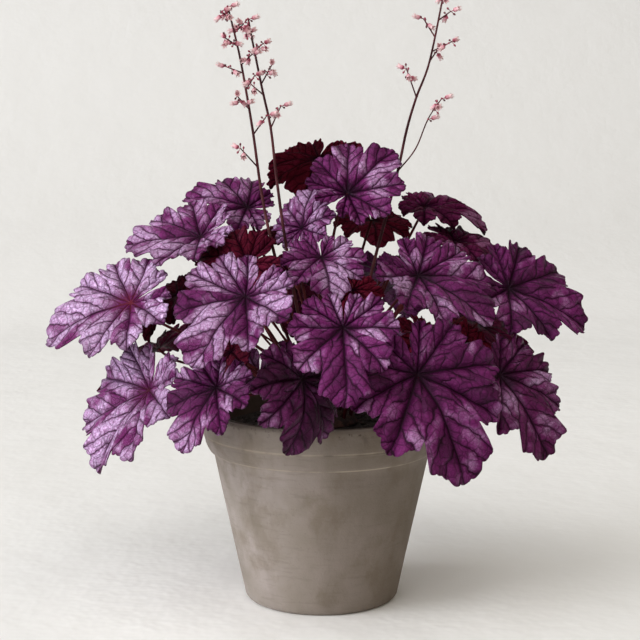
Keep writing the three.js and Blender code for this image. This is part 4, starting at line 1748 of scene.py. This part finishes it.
LEAVES = (
    LeafPose((-0.156, -0.030, 0.255), (180, -20, -36), 0.080, 0.58, nod=0.13, width=0.86, fan=1, tone=PALE),
    LeafPose((-0.102, 0.015, 0.306), (180, -10, -28), 0.066, 0.24, nod=0.28, width=0.88, fan=1, ring=1, tone=LILAC),
    LeafPose((-0.065, 0.070, 0.327), (179, 16, -36), 0.059, 0.72, nod=0.14, width=0.79, fan=1, ring=1, tone=VIOLET),
    LeafPose((-0.058, -0.115, 0.270), (-137, -38, -19), 0.074, 0.14, nod=0.54, width=0.86, ring=1, tone=SILVER),
    LeafPose((0.000, -0.060, 0.295), (-77, -32, 3), 0.048, 0.5, nod=0.35, width=0.92, ring=2, tone=LILAC),
    LeafPose((-0.016, 0.015, 0.313), (72, 66, -21), 0.044, 0.77, nod=0.2, width=0.98, fan=0.9, ring=2, tone=LILAC),
    LeafPose((0.022, 0.005, 0.343), (31, 38, 43), 0.058, 0.34, nod=0.2, width=0.92, ring=2, tone=VIOLET),
    LeafPose((0.091, 0.070, 0.328), (-11, -5, 15), 0.061, 0.98, nod=0.19, width=0.77, ring=1, tone=DUSK),
    LeafPose((0.115, 0.038, 0.300), (-14, -12, 10), 0.058, 0.9, ring=1, tone=DUSK),
    LeafPose(
        (0.077, -0.065, 0.281), (-21, -28, 21), 0.072, 0.32, nod=0.31, width=0.97, fan=0.93, ring=1, tone=VIOLET
    ),
    LeafPose((0.155, -0.015, 0.265), (5, -22, 40), 0.076, 0.46, nod=0.2, width=0.87, fan=1, tone=PLUM),
    LeafPose((0.016, -0.157, 0.252), (-90, -53, 1), 0.064, 0.41, nod=0.43, width=0.83, fan=1.02, ring=1, tone=VIOLET),
    LeafPose((0.072, -0.144, 0.215), (-47, -51, 17), 0.092, 0.58, nod=0.31, width=0.88, tone=PLUM),
    LeafPose((0.142, -0.075, 0.203), (-33, -52, 13), 0.077, 0.53, nod=0.17, width=0.85, fan=0.93, tone=HAZE),
    LeafPose((0.122, 0.012, 0.212), (-25, -42, 8), 0.056, 0.8, tone=MAROON),
    LeafPose((-0.138, -0.066, 0.189), (-158, -54, -12), 0.079, 0.18, nod=0.31, width=0.96, fan=0.95, tone=FROST),
    LeafPose((-0.079, -0.140, 0.204), (-139, -45, -10), 0.058, 0.51, nod=0.34, width=0.86, fan=1, tone=MAUVE),
    LeafPose((-0.015, -0.146, 0.212), (-78, -58, -36), 0.062, 1.07, nod=0.3, width=0.98, fan=0.9, tone=SHADE),
    LeafPose((-0.002, 0.074, 0.370), (112, -26, 0), 0.060, 0.9, width=0.97, ring=2, tone=MAROON),
    LeafPose((-0.060, -0.022, 0.287), (186, -16, -38), 0.060, 0.8, ring=2, tone=UMBER),
    LeafPose((-0.124, 0.035, 0.255), (165, -40, 10), 0.052, 0.9, ring=1, tone=UMBER),
    LeafPose((0.044, 0.066, 0.316), (78, -18, 0), 0.048, 0.9, ring=2, tone=MAROON),
    LeafPose((0.026, -0.032, 0.266), (-80, -38, 0), 0.035, 0.9, ring=1, tone=MAROON),
    LeafPose((0.082, -0.055, 0.230), (-30, -38, 0), 0.049, 0.9, tone=MAROON),
    LeafPose((-0.072, -0.062, 0.219), (205, -40, 0), 0.045, 0.9, tone=UMBER),
    LeafPose((-0.028, 0.059, 0.309), (110, -10, 0), 0.034, 0.9, ring=2, tone=UMBER),
    LeafPose((-0.146, 0.082, 0.200), (162, -32, 0), 0.076, 0.8, tone=WINE),
    LeafPose((-0.058, 0.136, 0.168), (108, -58, 0), 0.074, 0.8, tone=VIOLET),
    LeafPose((-0.022, 0.140, 0.256), (94, -34, 0), 0.080, 0.8, ring=1, tone=WINE),
    LeafPose((0.062, 0.138, 0.262), (65, -28, 0), 0.074, 0.8, ring=1, tone=PLUM),
    LeafPose((0.052, 0.140, 0.198), (66, -45, 0), 0.078, 0.8, tone=VIOLET),
    LeafPose((0.140, 0.088, 0.222), (28, -35, 0), 0.078, 0.8, tone=WINE),
)


@dataclass
class Foliage:
    """All the leaves, with their feet in the crown's rings in the order of their bearings."""

    poses: tuple[LeafPose, ...] = LEAVES
    form: BladeForm = field(default_factory=BladeForm)
    ring_radii: Trio = (26 * MM, 17 * MM, 9 * MM)
    ring_starts: Trio = (-172, -175, -170)  # bearing of each ring's first socket, in degrees
    near_leaves: int = 19  # the rest are small inner leaves and those on the far side
    near_mesh: tuple[int, int] = (49, 18)  # steps across a lobe, and rings
    far_mesh: tuple[int, int] = (28, 15)
    dull_red: float = 0.5  # leaves from this red on have no gloss
    dull_gloss: float = 0.01

    def feet(self) -> list[Pair]:
        """Returns the place of each leaf's socket in the crown."""
        feet: dict[int, Pair] = {}
        for ring, (radius, start) in enumerate(zip(self.ring_radii, self.ring_starts)):
            order = [i for i, pose in enumerate(self.poses) if pose.ring == ring]
            order.sort(key=lambda i: math.atan2(self.poses[i].at[1], self.poses[i].at[0]))
            for k, i in enumerate(order):
                angle = math.radians(start + 360 * k / len(order))
                feet[i] = (radius * math.cos(angle), radius * math.sin(angle))
        return [feet[i] for i in range(len(self.poses))]

    def build(self, crown: Crown) -> None:
        """Builds every leaf.

        Args:
            crown: The crown that they grow from.
        """
        glossy, dull = BladeFinish().make(), BladeFinish("heuchera_dull_blade_top", self.dull_gloss).make()
        underside = UndersideFinish().make()
        stalk = StalkFinish("petiole_skin", (0.040, 0.006, 0.009, 1), (0.125, 0.022, 0.026, 1)).make()
        down = hairs_finish("petiole_hairs")
        for i, (pose, foot) in enumerate(zip(self.poses, self.feet())):
            steps, rings = self.near_mesh if i < self.near_leaves else self.far_mesh
            skins = [dull if pose.tone.red >= self.dull_red else glossy, underside]
            Leaf(i + 1, pose, foot, self.form, steps, rings).build(crown, skins, stalk, down)


@dataclass
class Shoots:
    """Young leaves that are still folded, on thin stalks among the petioles."""

    tips: tuple[Point, ...] = (
        (-0.040, -0.020, 0.262), (-0.049, -0.030, 0.257), (-0.057, -0.012, 0.261), (-0.034, -0.036, 0.253),
        (-0.064, -0.032, 0.250), (-0.074, -0.020, 0.249), (-0.086, -0.036, 0.243), (-0.029, -0.014, 0.266),
        (0.062, -0.030, 0.246), (0.050, 0.052, 0.262), (-0.020, 0.070, 0.254),
    )
    first_radius: float = 6.0  # of the spiral of their feet, in millimetres
    radius_step: float = 1.6
    foot_depth: float = 2 * MM
    stalk_radius: float = 0.9 * MM
    stalk_steps: int = 14
    folds: tuple[float, ...] = (1.5, 2.5, 2.9, 2.2, 0.9)  # radii of the folded blade, in millimetres
    fold_step: float = 2.2 * MM

    def shoot(self, k: int, crown: Crown) -> Object:
        """Models one shoot.

        Args:
            k: Its place in the list of tips.
            crown: The crown that it grows from.

        Returns:
            The shoot.
        """
        radius = (self.first_radius + self.radius_step * k) * MM
        foot = polar(radius, NEXT_TURN * k, crown.top(radius) - self.foot_depth)
        tip = Vector(self.tips[k])
        rise = Vector((0, 0, (tip - foot).length * 0.3))
        line = bezier([foot, foot + rise, tip - (tip - foot) * 0.3 - rise * 0.1, tip], self.stalk_steps)
        along = (line[-1] - line[-2]).normalized()
        sizes = tapered(self.stalk_radius, 1.25, 0.3, line) + [radius * MM for radius in self.folds]
        line += [tip + along * self.fold_step * (j + 1) for j in range(len(self.folds))]
        return rod("shoot", line, sizes)

    def build(self, crown: Crown) -> Object:
        """Returns the finished shoots."""
        stalk = StalkFinish("shoot_skin", (0.050, 0.007, 0.010, 1), (0.160, 0.030, 0.034, 1)).make()
        parts = [self.shoot(k, crown) for k in range(len(self.tips))]
        return finished(joined(dressed(parts, stalk), "heuchera_shoots"), Slot.LEAF)


# ---- flower scapes ------------------------------------------------------------------------------------------


@dataclass(frozen=True)
class Branch:
    """Side branch of a scape: the height that it leaves the stem at, its points, and the bells at each."""

    rise: float
    through: tuple[tuple[Point, int], ...]


@dataclass(frozen=True)
class ScapePlan:
    """Route and branches of one flower scape."""

    name: str
    foot: Pair
    route: tuple[Point, ...]
    branches: tuple[Branch, ...]
    tip_bells: int


@dataclass
class Bell:
    """One nodding flower on its pedicel: a bell of five sepals with stamens that stand out of its mouth."""

    length: float = 5.6 * MM
    radius: float = 2.0 * MM
    rings: tuple[Pair, ...] = (  # radius and height as shares, down the outside and up inside the mouth
        (0.42, 0.00), (0.80, -0.10), (0.98, -0.26), (0.92, -0.50), (0.84, -0.70), (0.98, -0.86), (1.22, -1.00),
        (1.10, -0.97), (0.72, -0.72), (0.60, -0.40),
    )
    sides: int = 10
    sepals: int = 5
    split_start: float = 0.75  # the sepals part below this share of the length
    split_depth: float = 0.16
    split_spread: Pair = (0.14, 0.05)  # of the parted sepals, and along the whole bell
    pedicel: float = 3.2 * MM
    pedicel_radius: float = 0.36 * MM
    stamens: int = 5
    stamen_depths: tuple[float, ...] = (0.45, 1.05, 1.26, 1.34)
    stamen_spreads: tuple[float, ...] = (0.25, 0.45, 0.62, 0.68)
    stamen_radii: tuple[float, ...] = (0.13, 0.11, 0.26, 0.08)  # in millimetres
    stamen_reach: float = 0.95  # place on the bell that they take their colour from
    buds: int = 2
    bud_steps: tuple[float, ...] = (0, 0.5, 1.3, 2.1, 2.6)  # along the bud, in millimetres
    bud_radii: tuple[float, ...] = (0.26, 0.24, 0.35, 0.75, 0.95, 0.6, 0.15)

    def cup(self) -> Object:
        """Returns the bell, hanging down from the origin, with its mouth open."""
        bpy.ops.mesh.primitive_circle_add(vertices=self.sides, radius=self.rings[0][0], fill_type="NGON")
        cup = bpy.context.object
        with editing():
            extrude_rings(self.rings)
            face_outwards()
        mark(cup, "reach", [-vertex.co.z for vertex in cup.data.vertices])
        turn = self.sepals * math.pi / self.sides
        for vertex in cup.data.vertices:
            x, y, z = vertex.co
            sepal = math.cos(self.sepals * math.atan2(y, x) - turn)
            split = max(0.0, -z - self.split_start) / (1 - self.split_start) * sepal
            wide = 1 + self.split_spread[0] * split + self.split_spread[1] * sepal
            height = (z - self.split_depth * split) * self.length
            vertex.co = Vector((x * wide * self.radius, y * wide * self.radius, height))
        return cup

    def stamen(self, k: int) -> Object:
        """Models a stamen, a thread that ends in a small knob.

        Args:
            k: Its number.

        Returns:
            The stamen.
        """
        out = polar(1, 2 * math.pi * (k + 0.3) / self.stamens)
        places = zip(self.stamen_spreads, self.stamen_depths)
        line = [out * spread * self.radius - Vector((0, 0, depth * self.length)) for spread, depth in places]
        thread = rod("stamen", line, [radius * MM for radius in self.stamen_radii], 0)
        mark(thread, "reach", self.stamen_reach)
        return thread

    def bud(self, k: int) -> Object:
        """Models a closed bud, on a short stalk beside the bell's own.

        Args:
            k: Its number.

        Returns:
            The bud.
        """
        root = Vector((0, 0, -self.pedicel * 0.15))
        tip = root + polar(1, 2.2 + k * 2.6) * (2.1 + 0.8 * k) * MM - Vector((0, 0, (1.2 - 1.5 * k) * MM))
        heading = (tip - root).normalized()
        line = [root, root.lerp(tip, 0.5), *(tip + heading * step * MM for step in self.bud_steps)]
        bud = rod("bud", line, [radius * MM for radius in self.bud_radii])
        mark(bud, "reach", -0.3 + 0.25 * k)
        return bud

    def model(self) -> Object:
        """Returns one bell with its pedicel and buds, hanging straight down from the origin."""
        flower = joined([self.cup(), *(self.stamen(k) for k in range(self.stamens))], "bell")
        flower.data.transform(Matrix.Translation((0, 0, -self.pedicel)))
        heights = (0.4 * MM, -self.pedicel * 0.6, -self.pedicel - 0.5 * MM)
        thick = self.pedicel_radius
        stalk = rod("pedicel", [Vector((0, 0, height)) for height in heights], [thick, thick, thick * 1.8])
        mark(stalk, "reach", 0)
        whole = joined([flower, stalk, *(self.bud(k) for k in range(self.buds))], "bell")
        bpy.ops.object.shade_smooth()
        return dressed([whole], BellFinish().make())[0]


@dataclass
class Scape:
    """One flower scape: a thin stem, side branches and nodding bells."""

    plan: ScapePlan
    stem_radius: float = 1.3 * MM
    stem_steps: int = 7
    branch_radius: float = 0.62 * MM
    branch_steps: int = 5
    bell_nods: Trio = (0.3, -0.7, -0.2)
    bell_spacing: float = 3.5 * MM

    @staticmethod
    def at_height(line: list[Vector], height: float) -> Vector:
        """Finds the place on a rising line at a height.

        Args:
            line: The line.
            height: The height.

        Returns:
            The place.
        """
        for low, high in zip(line, line[1:]):
            if high.z >= height:
                return low.lerp(high, (height - low.z) / (high.z - low.z))
        return line[-1]

    def cluster(self, model: Object, end: Vector, along: Vector, count: int, turn: float) -> list[Object]:
        """Hangs bells round the end of a branch.

        Args:
            model: The bell to copy.
            end: The branch's end.
            along: The branch's heading there.
            count: How many bells it holds.
            turn: The bearing of the first.

        Returns:
            The bells.
        """
        bells = []
        for k in range(count):
            heading = polar(1, turn + k * NEXT_TURN, self.bell_nods[k % 3]).normalized()
            root = end - along * (self.bell_spacing * k + self.branch_radius)
            bells.append(copied(model, Matrix.Translation(root) @ pointed((0, 0, -1), heading)))
        return bells

    def build(self, crown: Crown, model: Object, stem: Material, down: Material) -> Object:
        """Returns the finished scape.

        Args:
            crown: The crown that it grows from.
            model: The bell to copy, dressed in its own material.
            stem: Material of the stem and branches.
            down: Material of the stem's hairs.

        Returns:
            The scape.
        """
        bottom, mouth = crown.socket(self.plan.foot)
        line = [bottom, *spline([mouth, *(Vector(place) for place in self.plan.route)], self.stem_steps)]
        stalks = [rod("stem", line, tapered(self.stem_radius, 1.2, 0.6, line), 2)]
        bells = []
        for i, branch in enumerate(self.plan.branches):
            points = [self.at_height(line, branch.rise), *(Vector(place) for place, _ in branch.through)]
            side = spline(points, self.branch_steps)
            stalks.append(rod("branch", side, tapered(self.branch_radius, 1.1, 0.35, side)))
            for low, high, (_, count) in zip(points, points[1:], branch.through):
                bells += self.cluster(model, high, (high - low).normalized(), count, i * NEXT_TURN)
        bells += self.cluster(model, line[-1], Vector((0, 0, 1)), self.plan.tip_bells, 0)
        hairs = Fuzz().grow(line[2:-1], self.stem_radius * 0.85, down, SEED + len(line) - 1)
        whole = joined([*dressed(stalks, stem), *bells, *hairs], f"heuchera_{self.plan.name}")
        return finished(whole, Slot.SCAPE, self.plan.name)


SCAPES = (
    ScapePlan(
        "scape_left", (-0.003, -0.002),
        (
            (-0.018, -0.011, 0.215), (-0.037, -0.010, 0.285), (-0.049, 0.002, 0.338), (-0.057, 0.010, 0.393),
            (-0.063, 0.014, 0.429), (-0.069, 0.017, 0.461), (-0.078, 0.020, 0.498),
        ),
        (
            Branch(0.392, (((-0.045, 0.000, 0.408), 2),)),
            Branch(0.365, (((-0.067, -0.004, 0.381), 2),)),
            Branch(0.413, (((-0.070, 0.002, 0.424), 4),)),
            Branch(0.429, (((-0.055, 0.005, 0.441), 2),)),
            Branch(0.443, (((-0.079, 0.022, 0.448), 2),)),
            Branch(0.450, (((-0.058, 0.027, 0.459), 3),)),
            Branch(0.465, (((-0.080, 0.010, 0.472), 4),)),
            Branch(0.476, (((-0.065, 0.026, 0.484), 3),)),
            Branch(0.487, (((-0.084, 0.014, 0.494), 3),)),
        ),
        3,
    ),
    ScapePlan(
        "scape_back", (0.001, 0.004),
        (
            (-0.016, 0.004, 0.225), (-0.030, 0.008, 0.301), (-0.038, 0.025, 0.355), (-0.043, 0.032, 0.397),
            (-0.050, 0.036, 0.429), (-0.058, 0.040, 0.468), (-0.062, 0.042, 0.489),
        ),
        (
            Branch(0.397, (((-0.034, 0.024, 0.416), 3),)),
            Branch(0.425, (((-0.060, 0.046, 0.434), 2),)),
            Branch(0.434, (((-0.042, 0.044, 0.451), 4),)),
            Branch(0.462, (((-0.049, 0.030, 0.468), 3),)),
            Branch(0.473, (((-0.067, 0.047, 0.481), 3),)),
        ),
        4,
    ),
    ScapePlan(
        "scape_right", (0.004, -0.001),
        (
            (0.028, 0.000, 0.225), (0.048, 0.016, 0.298), (0.064, 0.022, 0.359), (0.072, 0.024, 0.396),
            (0.080, 0.026, 0.423), (0.091, 0.028, 0.453), (0.103, 0.030, 0.512),
        ),
        (
            Branch(0.361, (((0.079, 0.016, 0.380), 0), ((0.089, 0.011, 0.405), 1), ((0.100, 0.007, 0.422), 4))),
            Branch(0.423, (((0.071, 0.020, 0.447), 3),)),
            Branch(0.453, (((0.099, 0.035, 0.464), 2),)),
            Branch(0.461, (((0.109, 0.020, 0.469), 2),)),
            Branch(0.473, (((0.086, 0.037, 0.489), 2),)),
            Branch(0.487, (((0.108, 0.022, 0.494), 2),)),
        ),
        3,
    ),
)


@dataclass
class Flowers:
    """All the flower scapes."""

    plans: tuple[ScapePlan, ...] = SCAPES

    def build(self, crown: Crown) -> None:
        """Builds every scape.

        Args:
            crown: The crown that they grow from.
        """
        model = Bell().model()
        stem = StalkFinish("scape_skin", (0.032, 0.008, 0.011, 1), (0.115, 0.034, 0.040, 1)).make()
        down = hairs_finish("stem_hairs")
        for plan in self.plans:
            Scape(plan).build(crown, model, stem, down)
        bpy.data.objects.remove(model)


# ---- whole plant --------------------------------------------------------------------------------------------


def write_sizes() -> None:
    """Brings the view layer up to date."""
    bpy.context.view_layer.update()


def main() -> None:
    """Builds the studio and the plant, in the order that they stand."""
    logging.basicConfig(level=logging.INFO, format="%(message)s", stream=sys.stdout)
    Studio().build()
    ClayPot().build()
    PottingSoil().build()
    crown = Crown()
    crown.build()
    Foliage().build(crown)
    Shoots().build(crown)
    Flowers().build(crown)
    write_sizes()


if __name__ == "__main__":
    main()
